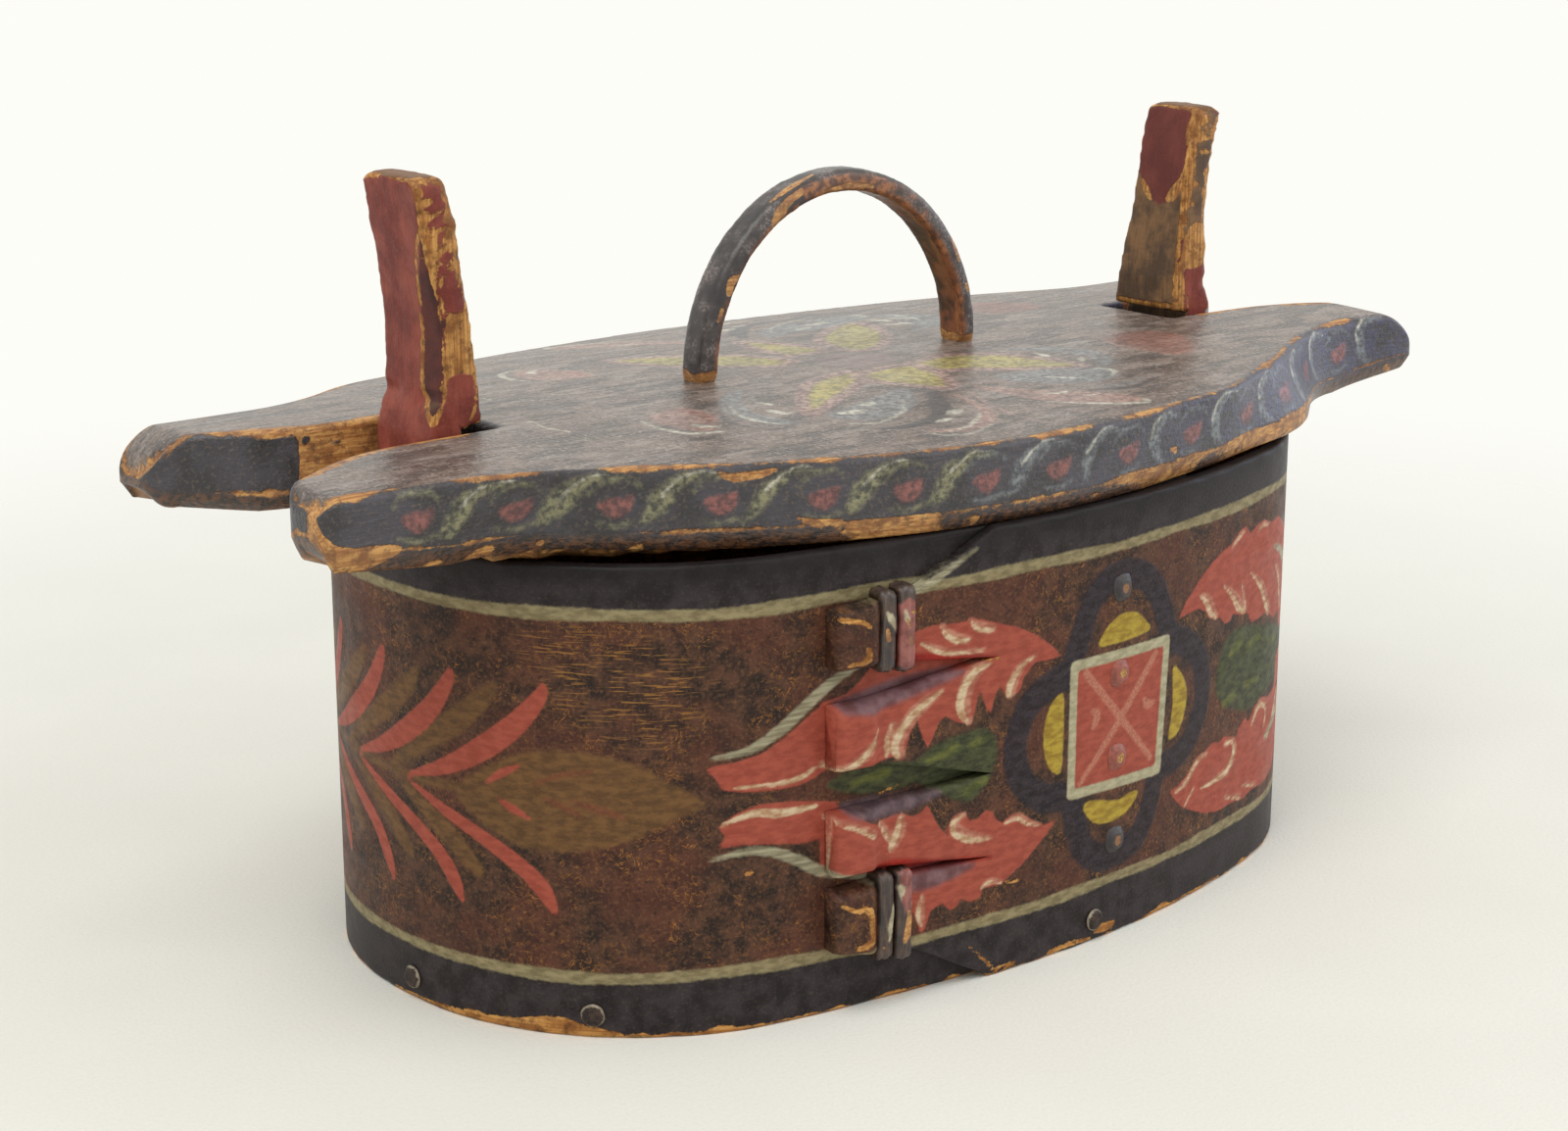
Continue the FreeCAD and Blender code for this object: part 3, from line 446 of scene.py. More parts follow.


# ======== the band's painted motifs
# drawings of (along the strip, up from the foot), as Paint.draw reads them
# the mauve strokes along the tongues' upper bevels are partly mauve-grey paint and partly a painted
# sheen
LEFT_LEAVES = """
red: -49 73, -45 76, -41 79.5, -36 80.2, -33 79.8, -28 79.6, -26.5 80.2, -20 78, -14 76, -9 73.5, -4 70,
  -1.5 67.5, -5 67.2, -9 67.6, -12.3 64.5, -13 61.8, -17 61.5, -18.5 64.5, -20 62, -21 58.5, -22.5 60.5,
  -24 65, -25.2 60, -26 57.3, -30 58.5, -33 60.5, -34.7 59, -36 56, -37 54.3, -38.5 56.5, -40 61,
  -41.7 58, -43 53.8, -47 54, -50 53.4, -55 53, -61 52.6, -61 67, -55 68, -52 70 | -61 44.6, -57 45,
  -53 42, -50.5 40.8, -47 41.2, -45 41.8, -43 41.3, -41 40.2, -38.5 40.8, -37 42, -36 40, -34 36.5,
  -31.5 33.8, -32 36, -30 38.2, -27.2 38.4, -26.5 36.5, -24 36.2, -22 37.7, -20 37, -19 35, -17 33.7,
  -16.5 34.5, -14 35.2, -11 34.2, -8 32, -5 30.6, -1.8 31.2, -3.5 29.3, -7 26.5, -11 23.5, -15 21.5,
  -17 20.3, -20 20.2, -22 20.6, -23 18.4, -26 18.2, -28 19.6, -29 17.9, -31 17.6, -33 19.6, -36 18.5,
  -37.3 15, -38.5 13.8, -39.3 17, -41 20, -44 22, -46 24.5, -48 26.8, -53 29.5, -61 30;
deep: -48 73.2 1.2, -40 73.6 1.3, -30 72 .9, -20 70.7 .3 | -53 31 .6, -45 30.4 1.5, -37 28.7 1.4,
  -28 27.9 .8, -20 26.9 .3;
mauve: -58 66.2 .8, -50 66.4 1.9, -42 67.7 1.9, -33 68.6 1.2, -28 69 .4 | -46 26.3 1, -38 25.5 2,
  -30 26 1.4, -25 26.2 .5 | -56 44.2 .9, -49 43.4 1.8, -41 43.2 1.3, -34 44 .5;
highlight: -21 69.6 .4, -24.5 69 1.6, -27.4 65.8 2, -28.2 61.5 1.9, -26.6 58.2 .9 | -8.5 69.2 .4,
  -12.5 67.5 1, -15 64.5 1.6, -15.6 62.2 1.4 | -33.5 66 .5, -38 64 1.5, -42 61 1.7, -44.6 57 1.8,
  -44 54.3 1.3 | -50 61 .4, -53 57 1.2, -57 54.6 1.2, -60.5 54.2 .9 | -46 61 .7, -47 57.5 1,
  -47.2 54.5 .6 | -34 79.7 .6, -32 77.5 1.1, -29 76 1.1, -26.8 75.9 .6 | -26.7 79.9 .5, -24.5 78 1.1,
  -21.5 77.1 1, -20 76.9 .5 | -39 77 .5, -35 74.8 .9, -31 73.6 .7, -23 72.8 .5 | -6.5 31 .4, -10 32.4 .8,
  -13 34.3 .9, -16.3 33.7 .5 | -20 31.3 .4, -25 32.3 1.3, -29.2 34.6 1.4, -30 37 1.1, -27.5 38 .6 |
  -43.6 41.2 .6, -44 37.8 1.6, -45.8 34.4 .9 | -49 40.8 .5, -47 37.8 .9, -46 35.5 .5 | -60 43.2 .7,
  -55 41.2 .9, -51 38.8 .9 | -38 22.5 .5, -38.6 19 1.2, -38 16 .6 | -44 26 .5, -43 23.6 1.2, -42 22.3 .5
  | -22.5 20.6 .5, -20.2 21.6 .8, -17 20.6 .4 | -60.5 31.2 .7, -55 30.9 .6;
green/3: -59.5 49.5, -56 51.5, -52 52.6, -45 52.9, -40 52.2, -36 54.5, -31 55.4, -27 56, -22 55.5,
  -19.5 53, -19 49, -20 46, -22 43.5, -25 41, -29 41, -33 43.5, -38 45.8, -42 45.5, -48 45.8, -54 46.8,
  -58 48.3;
light_leaf: -37 51.5 .6, -30 53 .9 | -26 52.6 .6, -22 53.6 .6 | -53 48.8 .7, -45 49.6 1 | -27.5 42.6 .6,
  -22 44.6 .8;
"""
TAILS = """
red: -86 56.2, -84 54.5, -82.5 51.9, -78 51, -72 50.5, -66 50.6, -62 51.6, -58 54, -58 67.5, -63 65.3,
  -68 61.8, -74 58.6, -80 57.4, -84 57.2 | -83.5 44.2, -80 46.6, -75 48, -68 47.6, -62 46.6, -57 45.6,
  -57 38.3, -66 38.2, -72 39.2, -78 39.9, -83.5 39.8, -82 42;
cream: -80 52.1 .3, -72 51.7 .5, -66 52.1 .6, -62.5 53.5 .4 | -83 44.5 .3, -76 46.3 .8, -70 45.4 .9,
  -62 45.6 .5;
pale: -85 58.6 .3, -77 59.6 .8, -70 63 1.3, -65 66.5 1.3, -60 70 1.2, -55 72.6 .9, -50 74.2 .5 |
  -85 37.4 .3, -78 38.4 .8, -72 37.5 1, -66 34.6 1.2, -61 31.5 1.2, -55 29.8 1.1, -49 27.8 .7;
"""
MEDALLION = """
navy: 2.5 66 3.3, 4.5 71.5 3.3, 8 78 3.3, 13 81.3 3.3, 19 81.8 3.3, 25.5 79.5 3.3, 30.5 74 3.3, 34 66 3.3
  | 2 63 3.3, -5 61.5 3.3, -11 57.5 3.3, -14.2 50 3.3, -12 42 3.3, -6 37 3.3, 2 35.5 3.3 | 3 34 3.3,
  5 26 3.3, 9 20.5 3.3, 17 18.6 3.3, 25 20.5 3.3, 29.3 27 3.3, 31 34 3.3 | 35 64 3.3, 42 61 3.3,
  47.5 56 3.3, 49.3 49 3.3, 47.5 42 3.3, 42 36.5 3.3, 34 34.5 3.3;
yellow/2: 9.8 67.4, 12 70.4, 15 72.4, 19 73.1, 23 72.1, 26 69.6, 27.4 67.4, 20 66.8, 13 66.8 | -.7 59.1,
  -3.6 57.8, -5.6 54, -6.1 49, -5 44.5, -3 41.9, -.7 41.4, -.2 47, -.2 55 | 36.4 57, 39 55.8, 41.6 52.5,
  42.6 48.5, 41.2 43.5, 39 40.8, 35.8 40.2, 36 43, 37 48.5 | 6.4 31.6, 8 32.9, 13 32, 18 30.8, 22 31.5,
  25 31.2, 23 28.5, 19 26.7, 14 26.4, 9.5 27.8;
red: 3.4 63.5, 33 62.8, 31.4 35.6, 3.4 36.4;
pink: 6.3 62 1, 29 38 .8 | 29.6 61.6 .9, 17.5 49 1, 5 37.3 .6 | 9.2 49.5 .8, 10.2 52 1.1, 8.2 53.2 .4 |
  26 51.8 .7, 27.5 50.4 1.1, 29.5 50.6 .6;
frame: 2.6 64.3 1.15, 33.8 63.8 1.15 | 33.8 63.8 1.15, 31.9 34.4 1.15 | 31.9 34.4 1.15, 2.5 35.6 1.15 |
  2.5 35.6 1.15, 2.6 64.3 1.15;
"""
RIGHT_LEAVES = """
red: 38 67.7, 41 71, 45 74, 50 77, 55 79, 60 80, 64 82.3, 67 82.8, 69.5 80.6, 73 81.6, 77 82.3, 82 80.5,
  88 80.8, 94 78, 101 75, 105 69, 101 61, 97 55.5, 91 57, 87 56.4, 83 58.5, 79 59.4, 76 59, 72 59,
  70.5 61, 69.5 61.9, 65 62.4, 62 63.4, 60.8 61.8, 58 62, 56 64, 54.5 64, 51 64.8, 49 67, 46 68.2, 42 68
  | 36.5 28.4, 39 28, 41 28.6, 44 30, 47 32.7, 51 33.4, 55 34.8, 58 33.8, 60 34.8, 63 34, 66.5 32.6,
  68 35, 71 36.4, 73 34.8, 76 37.6, 80 39, 85 37.6, 92 38.4, 99 37, 104 30, 101 22, 95 18, 85 16.6,
  76 17.2, 72 16.4, 66 17.2, 58 17.2, 52 18.6, 46 21, 42 23, 39 25.5;
highlight: 47 71 .5, 50 69.4 1.4, 52 66.6 1.5, 54.2 64.6 .9 | 57.5 71 .4, 62.5 67.5 1.2, 65.5 64.6 1.6,
  68.4 62.8 .9 | 66.4 69.5 .4, 68 66 .7, 68.8 62.8 .6 | 71 71 .4, 77 67 1.2, 80 63 1.4, 82.5 59.4 1.3 |
  86 70 .4, 91 66 1.1, 93.5 61 1.2, 94.5 57.4 .7 | 60.5 79.3 .4, 64 81 .8, 67 82 .4 | 73.5 80.2 .4,
  77 81.2 .8, 80.5 80.4 .4 | 39.5 27.2 .5, 44 28.4 .9, 48 32 .9, 52.4 32.8 .6 | 50.5 25 .4, 57 25.4 .9,
  63 26.2 1.3, 66 29.8 1.2, 64.6 32.7 .9, 61 32.6 .8 | 43.5 22.6 .4, 47 26 .5 | 62 19.6 .5, 70 17.4 .8 |
  75 33.5 .5, 79 37.4 1.2, 84 35.5 .9, 83 31 .6 | 71 20 .5, 79 17.8 .7 | 86 27 .4, 92 32 1.1, 96 36.5 .7;
green/3: 55 49, 57 55, 61 58.7, 68 59.3, 76 57.6, 84 55.8, 92 53.6, 101 51, 108 47, 101 43.6, 92 41.5,
  84 40, 78 38.8, 72 38, 66 39.5, 60 42, 56 45.5;
light_leaf: 62 54 1.1, 67 56 1.2 | 70.5 53.5 .9, 77 54.3 .9 | 59.5 42.8 .9, 64.5 43.4 1 | 70 44.8 .7,
  77 44 .7 | 83 52 .6, 90 51 .7;
"""
FROND_LEAVES = """
olive: -6 50 .6, 2 55.5 2, 12 62 2.6, 20 68.5 2.2, 24 73 .5 |
  -4 48 .6, 4 44 1.8, 12 39 2.4, 19 33 1.6;
"""
FROND_TIP = """
olive: -97.5 49.5 .4, -10 49.3 .9, 16 50 .9;
olive/3: 14 50, 22 55.6, 31 59.8, 42 60.6, 52 58.4, 59 54.4, 66.5 49.4, 59 45.8, 52 42.4, 42 39.9,
  30.5 39.4, 22 42.4, 16 46.2;
red: 21.5 52 .3, 25 54.5 .9, 29 56.6 .4 | 24 49.2 .3, 27.5 47.4 .9, 31 45.8 .4;
faint_red: 34 50.4 .3, 38 49 .8, 42 47 .4 | 40 50.2 .3, 45 48.8 .9, 50.5 47 .5 |
  32 53 .3, 38 55.5 .7, 44 56.5 .3;
"""
LAP_EDGE = "pale: -44 88.2 .7, -39.5 88.4 .9, -36 89.4 .7, -30 92.3 .55, -25 94.6 .3;"
# places where the band's paint is worn or knocked off
BAND_WEAR = """
chips: -160 0 .9, -148 0 1.3, -136 0 1.8, -125 .4 2.3, -117 1.2 2.9, -112 .6 2.4, -104 0 1.4 | -100 0 .8,
  -86 0 1, -66 0 .7 | -17 1.3 .5, -13 1.2 .6 | 11.5 2 .4, 14 2.2 1.2, 17.5 2.4 .7 | -3 1 .6, 5 1.2 .6,
  10 .6 .4 | 30 .3 .7, 60 .2 .9 | -59.5 85.3 .5, -55 84.3 .6, -53 83 .4 | -53.4 78.5 .6, -53.2 76.6 .9,
  -55 75.8 .5, -58 75.6 .4 | -59 25.3 .4, -56 23.6 .5, -52.6 23 .8, -51.6 19 .9, -51.8 16 .9, -55 15.1 .6
  | -77.3 33.8 .6, -76.7 33.8 .6 | -60 53.2 .3, -52 53.2 .4 | -23 70.4 .1, -19 70.2 .3 | -47 45.5 .2,
  -42 46.5 .3 | -16 20.4 .5, -12 19.8 .3 | -26 8.6 .2, -18 .8 .5;
scratches: -124 84, -100 86, -84 74, -92 60, -112 66;
scratches: -124 84, -100 86, -84 74, -92 60, -112 66;
"""
FROND_PITCH, FROND_STEPS = 19.5, 5
LEFT_FROND, MEDALLION_MIDDLE = -152.5, 17.5
RIGHT_FROND = 2 * MEDALLION_MIDDLE - LEFT_FROND
BACK_MIDDLE = 2 * FULL_QUARTER + MEDALLION_MIDDLE
BACK_HALF = 90.0
UPPER_STRIPE, LOWER_STRIPE, STRIPE_HALF_WIDTH = 88.5, 12.9, 1.25
BAND_COLOURS = ("border", "sage", "olive", "green", "light_leaf", "navy", "yellow", "red",
                "faint_red", "deep", "mauve", "blush", "cream", "pale", "frame", "pink", "chips",
                "scratches")


def paint_stripes(paint, places, heights):
    """The dark borders and the pale stripes beside them, all round the band."""
    sway = 0.35 * wobble(places[:, None], 30.0, 11)
    upper, lower = UPPER_STRIPE + sway, LOWER_STRIPE - sway
    width = STRIPE_HALF_WIDTH + 0.25 * wobble(places[:, None], 16.0, 12)
    paint.colours["border"] = np.maximum(heights - upper - 0.6, lower - 0.4 - heights)
    paint.colours["sage"] = width - np.minimum(np.abs(heights - upper), np.abs(heights - lower))


def paint_frond(paint, origin, flip):
    """A leafy frond round an end of the box: pairs of red strokes, olive ones and a leaf at its tip."""
    for step in range(FROND_STEPS):
        paint.layout(origin - flip * FROND_PITCH * step, flip)
        reach, lean = 1.0 - 0.05 * step, 0.6 * step
        paint.stroke("red", [(0, 49.5 + lean * 0.3, 0.4), (11 * reach, 53.6, 1.7),
                             (21 * reach, 59.2, 2.5), (29 * reach, 65.6, 2.3),
                             (34 * reach, 71.6 + lean, 1.5), (34.5 * reach, 74 + lean, 0.3)])
        paint.stroke("red", [(0, 48.4, 0.4), (10 * reach, 44.6, 1.2), (21 * reach, 40, 1.6),
                             (29.5 * reach, 35, 1.8), (34 * reach, 30.5 - lean, 1.8),
                             (36 * reach, 26.5 - lean, 0.7)])
        if step < FROND_STEPS - 1:
            paint.draw(FROND_LEAVES)
    paint.layout(origin, flip).draw(FROND_TIP)


def paint_front(places, heights):
    """The band as it is seen from the front, and on round both ends."""
    paint = Paint(np.column_stack([places, heights]))
    paint.draw(TAILS + LEFT_LEAVES + MEDALLION + RIGHT_LEAVES + LAP_EDGE + BAND_WEAR)
    paint.layout(2 * MEDALLION_MIDDLE, -1).draw(TAILS)
    paint_frond(paint, LEFT_FROND, 1)
    paint_frond(paint, RIGHT_FROND, -1)
    return paint


def paint_back(places, heights):
    """The back, a guess: the medallion between two pairs of leaves."""
    paint = Paint(np.column_stack([places, heights]))
    paint.layout(-MEDALLION_MIDDLE).draw(MEDALLION + RIGHT_LEAVES)
    return paint.layout(MEDALLION_MIDDLE, -1).draw(RIGHT_LEAVES)


def paint_band(band):
    """Lay every colour out on the band and store it with the mesh."""
    mesh = band.data
    strip, heights = read_attribute(mesh, "strip"), vertex_places(mesh)[:, 2]
    wrapped = np.where(strip > 2 * FULL_QUARTER, strip - STRIP_LENGTH, strip)
    front = paint_front(wrapped, heights)
    back = paint_back(strip - BACK_MIDDLE, heights)
    paint_stripes(front, strip, heights)
    behind = np.abs(strip - BACK_MIDDLE) < BACK_HALF
    for colour, field in back.colours.items():
        front.colours[colour] = np.where(behind, field, front.colours.get(colour, field))
    front.lift("chips", 0.5 + 0.9 * wobble(wrapped[:, None], 13.0, 21, 3) - heights)
    front.store(mesh, BAND_COLOURS)
    depth = read_attribute(mesh, "depth")
    add_attribute(mesh, "bare", np.where(strip > -TONGUE_ROOT, depth - WALL + 0.1, -WALL))
    add_attribute(mesh, "flat", np.column_stack([strip, heights, depth]))


# ======== materials
def shown(red, green, blue):
    """A colour as it looks on a screen, from 0 to 255, as the shader's own linear colour."""
    def linear(part):
        part /= 255
        return part / 12.92 if part <= 0.04045 else ((part + 0.055) / 1.055) ** 2.4
    return linear(red), linear(green), linear(blue), 1.0


class Graph:
    """Short calls that add a material's nodes; each gives back the socket with its result.

    Colours are sockets or (red, green, blue) from 0 to 255, as they look on a screen.
    """

    def __init__(self, name):
        self.material = bpy.data.materials.new(name)
        self.material.use_nodes = True
        self.nodes = self.material.node_tree.nodes
        self.links = self.material.node_tree.links
        self.shader = self.nodes["Principled BSDF"]

    def feed(self, socket, value):
        if isinstance(value, bpy.types.NodeSocket):
            self.links.new(value, socket)
        else:
            socket.default_value = value

    def node(self, kind, inputs, **settings):
        node = self.nodes.new("ShaderNode" + kind)
        for key, value in settings.items():
            setattr(node, key, value)
        for key, value in inputs.items():
            self.feed(node.inputs[key], value)
        return node

    def attribute(self, name, output="Fac"):
        return self.node("Attribute", {}, attribute_name=name).outputs[output]

    def place(self):
        """The place on the piece, in millimetres."""
        inputs = {0: self.node("TexCoord", {}).outputs["Object"], "Scale": 1 / MM}
        return self.node("VectorMath", inputs, operation="SCALE").outputs[0]

    def part_of(self, vector, axis):
        return self.node("SeparateXYZ", {0: vector}).outputs[axis]

    def turned(self, vector, scale=(1, 1, 1), turn=(0, 0, 0), shift=(0, 0, 0)):
        inputs = {"Vector": vector, "Scale": scale, "Rotation": [math.radians(a) for a in turn],
                  "Location": shift}
        return self.node("Mapping", inputs).outputs[0]

    def math(self, operation, a, b=0.0, c=0.0):
        return self.node("Math", {0: a, 1: b, 2: c}, operation=operation).outputs[0]

    def scaled(self, value, factor):
        return self.math("MULTIPLY", value, factor)

    def most(self, a, b):
        return self.math("MAXIMUM", a, b)

    def total(self, total, *terms):
        """A value with (value, factor) terms added to it, where the factor -1 takes one away."""
        for value, factor in terms:
            amount = value if factor == -1 else self.scaled(value, abs(factor))
            total = self.math("SUBTRACT" if factor < 0 else "ADD", total, amount)
        return total

    def noise(self, vector, size, detail=3.0, roughness=0.55, distortion=0.0):
        """Cloudy noise from 0 to 1, with clouds of about the given size."""
        inputs = {"Vector": vector, "Scale": 1 / size, "Detail": detail, "Roughness": roughness,
                  "Distortion": distortion}
        return self.node("TexNoise", inputs).outputs["Fac"]

    def step(self, value, low, high):
        """0 below low, 1 above high, smooth between."""
        inputs = {"Value": value, "From Min": low, "From Max": high}
        return self.node("MapRange", inputs, interpolation_type="SMOOTHSTEP").outputs[0]

    def line_of(self, value, level, width):
        """1 along the contour where a noise has the given level."""
        distance = self.math("ABSOLUTE", self.math("SUBTRACT", value, level))
        return self.math("SUBTRACT", 1.0, self.step(distance, 0.0, width))

    def inside(self, name, ragged, soft, frays):
        """How far a point is inside a colour's shapes, with frayed edges."""
        inner = self.math("SUBTRACT", self.attribute(name), ragged)
        return self.step(self.math("MULTIPLY_ADD", frays, 2 * ragged, inner), -soft, soft)

    def frayed_edges(self, wide, frays, gain, sway):
        """How sharp an edge is, moved by a wide noise and frayed by a small one."""
        shift = self.scaled(self.math("SUBTRACT", wide, 0.5), sway)
        edges = self.math("MULTIPLY_ADD", self.attribute("edges"), gain, shift)
        return self.math("ADD", edges, self.math("SUBTRACT", frays, 0.5))

    def mix(self, share, a, b):
        node = self.node("Mix", {0: share}, data_type="RGBA")
        for index, colour in ((6, a), (7, b)):
            self.feed(node.inputs[index], shown(*colour) if isinstance(colour, tuple) else colour)
        return node.outputs[2]

    def tones(self, noise, low, high, dark, light):
        """Dark where a noise is low, light where it is high."""
        return self.mix(self.step(noise, low, high), dark, light)

    def washed(self, colour, *washes):
        """Lay thin patches over a colour: (noise, low, high, cover, tone) each."""
        for noise, low, high, cover, tone in washes:
            colour = self.mix(self.scaled(self.step(noise, low, high), cover), colour, tone)
        return colour

    def painted(self, colour, layers, frays, raised=0.0):
        """Lay a piece's painted colours over its ground; also how thick the paint is.

        A layer is (colour, raggedness and softness of its edge, two tones, their noise, cover).
        """
        for name, ragged, soft, dark, light, grain, cover in layers:
            share = self.scaled(self.inside(name, ragged, soft, frays), cover)
            colour = self.mix(share, colour, self.tones(grain, 0.35, 0.65, dark, light))
            raised = self.most(raised, share)
        return colour, raised

    def gloss(self, wide, worn, low, high):
        """Roughness that varies between two values and is higher on bare wood."""
        inputs = {"Value": wide, "From Min": 0.3, "From Max": 0.7, "To Min": low, "To Max": high}
        return self.math("MULTIPLY_ADD", worn, 0.2, self.node("MapRange", inputs).outputs[0])

    def finish(self, colour, roughness, height, depth, coat=0.0, specular=0.5):
        """The finished material, with its relief's depth in millimetres."""
        bump = self.node("Bump", {"Height": height, "Distance": depth * MM, "Strength": 1.0})
        values = {"Base Color": colour, "Roughness": roughness, "Coat Weight": coat,
                  "Coat Roughness": 0.25, "Specular IOR Level": specular, "Normal": bump.outputs[0]}
        for name, value in values.items():
            self.feed(self.shader.inputs[name], value)
        return self.material


def bare_wood(graph, grain):
    """Colour of worn, hand-darkened birch; the grain runs along the first axis of the vector."""
    fibres = graph.noise(graph.turned(grain, (0.05, 1.6, 1.6)), 1.0, 4)
    dirt = graph.noise(graph.turned(grain, shift=(7, 3, 40)), 2.2, 4, 0.7)
    warm = graph.tones(fibres, 0.35, 0.65, (164, 106, 54), (220, 166, 96))
    warm = graph.tones(graph.noise(grain, 5.0, 4, 0.65), 0.42, 0.66, warm, (136, 88, 48))
    return graph.washed(warm, (dirt, 0.52, 0.66, 0.6, (84, 56, 38)))


def old_ground(graph, flat):
    """The box's ground colour: dark brown and maroon, with ochre showing through fine cracks."""
    moved = graph.turned(flat, shift=(90, 20, 0))
    blotches = graph.noise(flat, 4.6, 5, 0.66)
    colour = graph.tones(blotches, 0.4, 0.62, (46, 36, 33), (90, 62, 49))
    colour = graph.washed(colour, (graph.noise(moved, 22.0), 0.42, 0.62, 0.55, (98, 56, 44)),
                          (graph.noise(flat, 0.8, 2), 0.5, 0.7, 0.45, (126, 90, 62)),
                          (graph.noise(moved, 1.5, 3, 0.6), 0.54, 0.68, 0.6, (38, 31, 29)))
    patchy = graph.step(graph.noise(graph.turned(flat, shift=(0, 50, 9)), 12.0), 0.44, 0.58)
    broken = graph.step(graph.noise(flat, 1.3, 2), 0.42, 0.54)
    squiggles = graph.line_of(graph.noise(flat, 3.6, 4, 0.6, 1.2), 0.5, 0.022)
    cracks = graph.scaled(graph.scaled(graph.scaled(squiggles, patchy), broken), 0.85)
    return graph.mix(cracks, colour, (166, 112, 58)), cracks


# how far below the band's rim its colour is darkened as painted shade, under the lid's overhang
RIM_SHADE = 8.0


def painted_band():
    graph = Graph("band_paint")
    flat = graph.attribute("flat", "Vector")
    ground, cracks = old_ground(graph, flat)
    frays = graph.noise(flat, 1.4, 4, 0.65)
    streaks = graph.noise(graph.turned(flat, (0.12, 1.3, 1)), 1.0, 3)
    wide = graph.noise(flat, 5.0, 3)
    brush = graph.noise(graph.turned(flat, (0.45, 1.0, 1)), 1.5, 4, 0.6)
    fine = graph.noise(flat, 0.7, 3)
    hatching = graph.noise(graph.turned(flat, (0.16, 2.2, 1), turn=(0, 0, 62)), 1.0, 2)
    hatched = graph.scaled(graph.step(hatching, 0.56, 0.64), graph.inside("scratches", 4, 4, wide))
    ground = graph.mix(graph.scaled(hatched, 0.7), ground, (166, 118, 62))
    layers = (("olive", 0.9, 0.8, (94, 68, 44), (124, 90, 55), brush, 0.88),
              ("border", 0.35, 0.35, (40, 35, 36), (60, 54, 56), wide, 1.0),
              ("sage", 0.45, 0.35, (124, 113, 82), (160, 148, 112), brush, 0.92),
              ("green", 0.6, 0.7, (48, 54, 39), (80, 86, 56), brush, 0.92),
              ("light_leaf", 0.8, 0.9, (84, 92, 44), (120, 122, 58), brush, 0.7),
              ("navy", 0.6, 0.6, (34, 30, 36), (56, 50, 57), brush, 0.92),
              ("yellow", 0.3, 0.3, (148, 120, 44), (184, 158, 62), brush, 1.0),
              ("red", 0.35, 0.3, (152, 72, 58), (172, 86, 69), brush, 1.0),
              ("faint_red", 0.5, 0.5, (112, 62, 46), (132, 72, 54), fine, 0.55),
              ("deep", 0.3, 0.6, (120, 24, 20), (156, 36, 28), wide, 0.9),
              # mauve on the tongues' bevels: partly paint, partly painted sheen
              ("mauve", 0.4, 0.9, (76, 62, 70), (124, 104, 112), wide, 0.8),
              ("blush", 0.4, 0.4, (160, 96, 78), (196, 142, 118), brush, 0.8),
              ("cream", 0.35, 0.3, (176, 136, 100), (222, 202, 168), brush, 0.9),
              ("pale", 0.5, 0.4, (134, 127, 102), (180, 174, 146), streaks, 0.9),
              ("frame", 0.3, 0.3, (160, 153, 124), (188, 181, 150), brush, 1.0),
              ("pink", 0.4, 0.4, (170, 104, 84), (200, 138, 114), fine, 0.8))
    colour, raised = graph.painted(ground, layers, frays, cracks)
    colour = graph.washed(colour, (fine, 0.5, 0.8, 0.25, (120, 96, 78)),
                          # painted shade: the band grows darker towards its rim, under the lid's
                          # overhang
                          (graph.part_of(flat, 1), HEIGHT - RIM_SHADE, HEIGHT, 0.7, (28, 25, 26)))
    chipped = graph.inside("chips", 0.7, 0.15, frays)
    bare = graph.step(graph.attribute("bare"), -0.1, 0.1)
    wood = bare_wood(graph, flat)
    colour = graph.mix(bare, graph.mix(chipped, colour, wood), wood)
    worn = graph.most(chipped, bare)
    height = graph.total(graph.scaled(raised, 0.35), (worn, -1), (fine, 0.5), (streaks, 0.35))
    return graph.finish(colour, graph.gloss(wide, worn, 0.36, 0.56), height, 0.2, 0.03, 0.12)


# ======== the band
FINE, COARSE, HIDDEN = 0.9, 1.8, 4.0
FINE_TURN = 45.0
ROW_STEP = 0.9
EDGE_ROUND, EDGE_SPREAD = 0.9, 0.4
UPPER_BEVEL, LOWER_BEVEL, BEVEL_RUN = 2.1, 0.9, 14.0
WALL_STEPS = 4
INSIDE_ROWS = 3
ROUND_ANGLES = np.radians([90, 60, 30, 0])


def strip_runs():
    """The strip's runs: oval, sides, distances from the middle, outward offset and direction."""
    turn = FULL_QUARTER - FINE_TURN
    far_back = np.concatenate([spaced(FULL_QUARTER, turn, FINE), spaced(turn, 0, COARSE)[1:]])
    near_left = np.concatenate([spaced(LAPPED_QUARTER, TONGUE_ROOT, FINE),
                                spaced(TONGUE_ROOT, 0, HIDDEN)[1:]])
    return [(FULL, 1, -1, spaced(0, FULL_QUARTER, FINE), 0.0, 1),
            (FULL, 1, 1, far_back[1:], 0.0, -1),
            (FULL, -1, 1, far_back[::-1][1:], 0.0, 1),
            (LAPPED, -1, -1, near_left[1:], 0.0, -1),
            (FULL, 1, -1, spaced(0, INNER_REACH, HIDDEN)[1:], -WALL - LAP_GAP, 1)]


def strip_columns():
    """Outer point, outward direction and distance along the strip of each column of the band.

    The strip's distance is 0 at the middle of the front's outer layer, grows to the right and round
    the back, and ends under the lap; the tongues have distances below 0.
    """
    lap = np.concatenate([spaced(TONGUE_REACH, TONGUE_ROOT, FINE), spaced(TONGUE_ROOT, 0, FINE)[1:-1]])
    points, directions = on_oval(LAPPED, lap, -1, -1)
    columns = [(points + (WALL + LAP_GAP) * directions, directions, -lap)]
    start = 0.0
    for half_width, side_x, side_y, distances, outward, way in strip_runs():
        points, directions = on_oval(half_width, distances, side_x, side_y)
        length = FULL_QUARTER if half_width == FULL else LAPPED_QUARTER
        places = start + (distances if way > 0 else length - distances)
        columns.append((points + outward * directions, directions, places))
        start += length
    return [np.concatenate(parts) for parts in zip(*columns)]


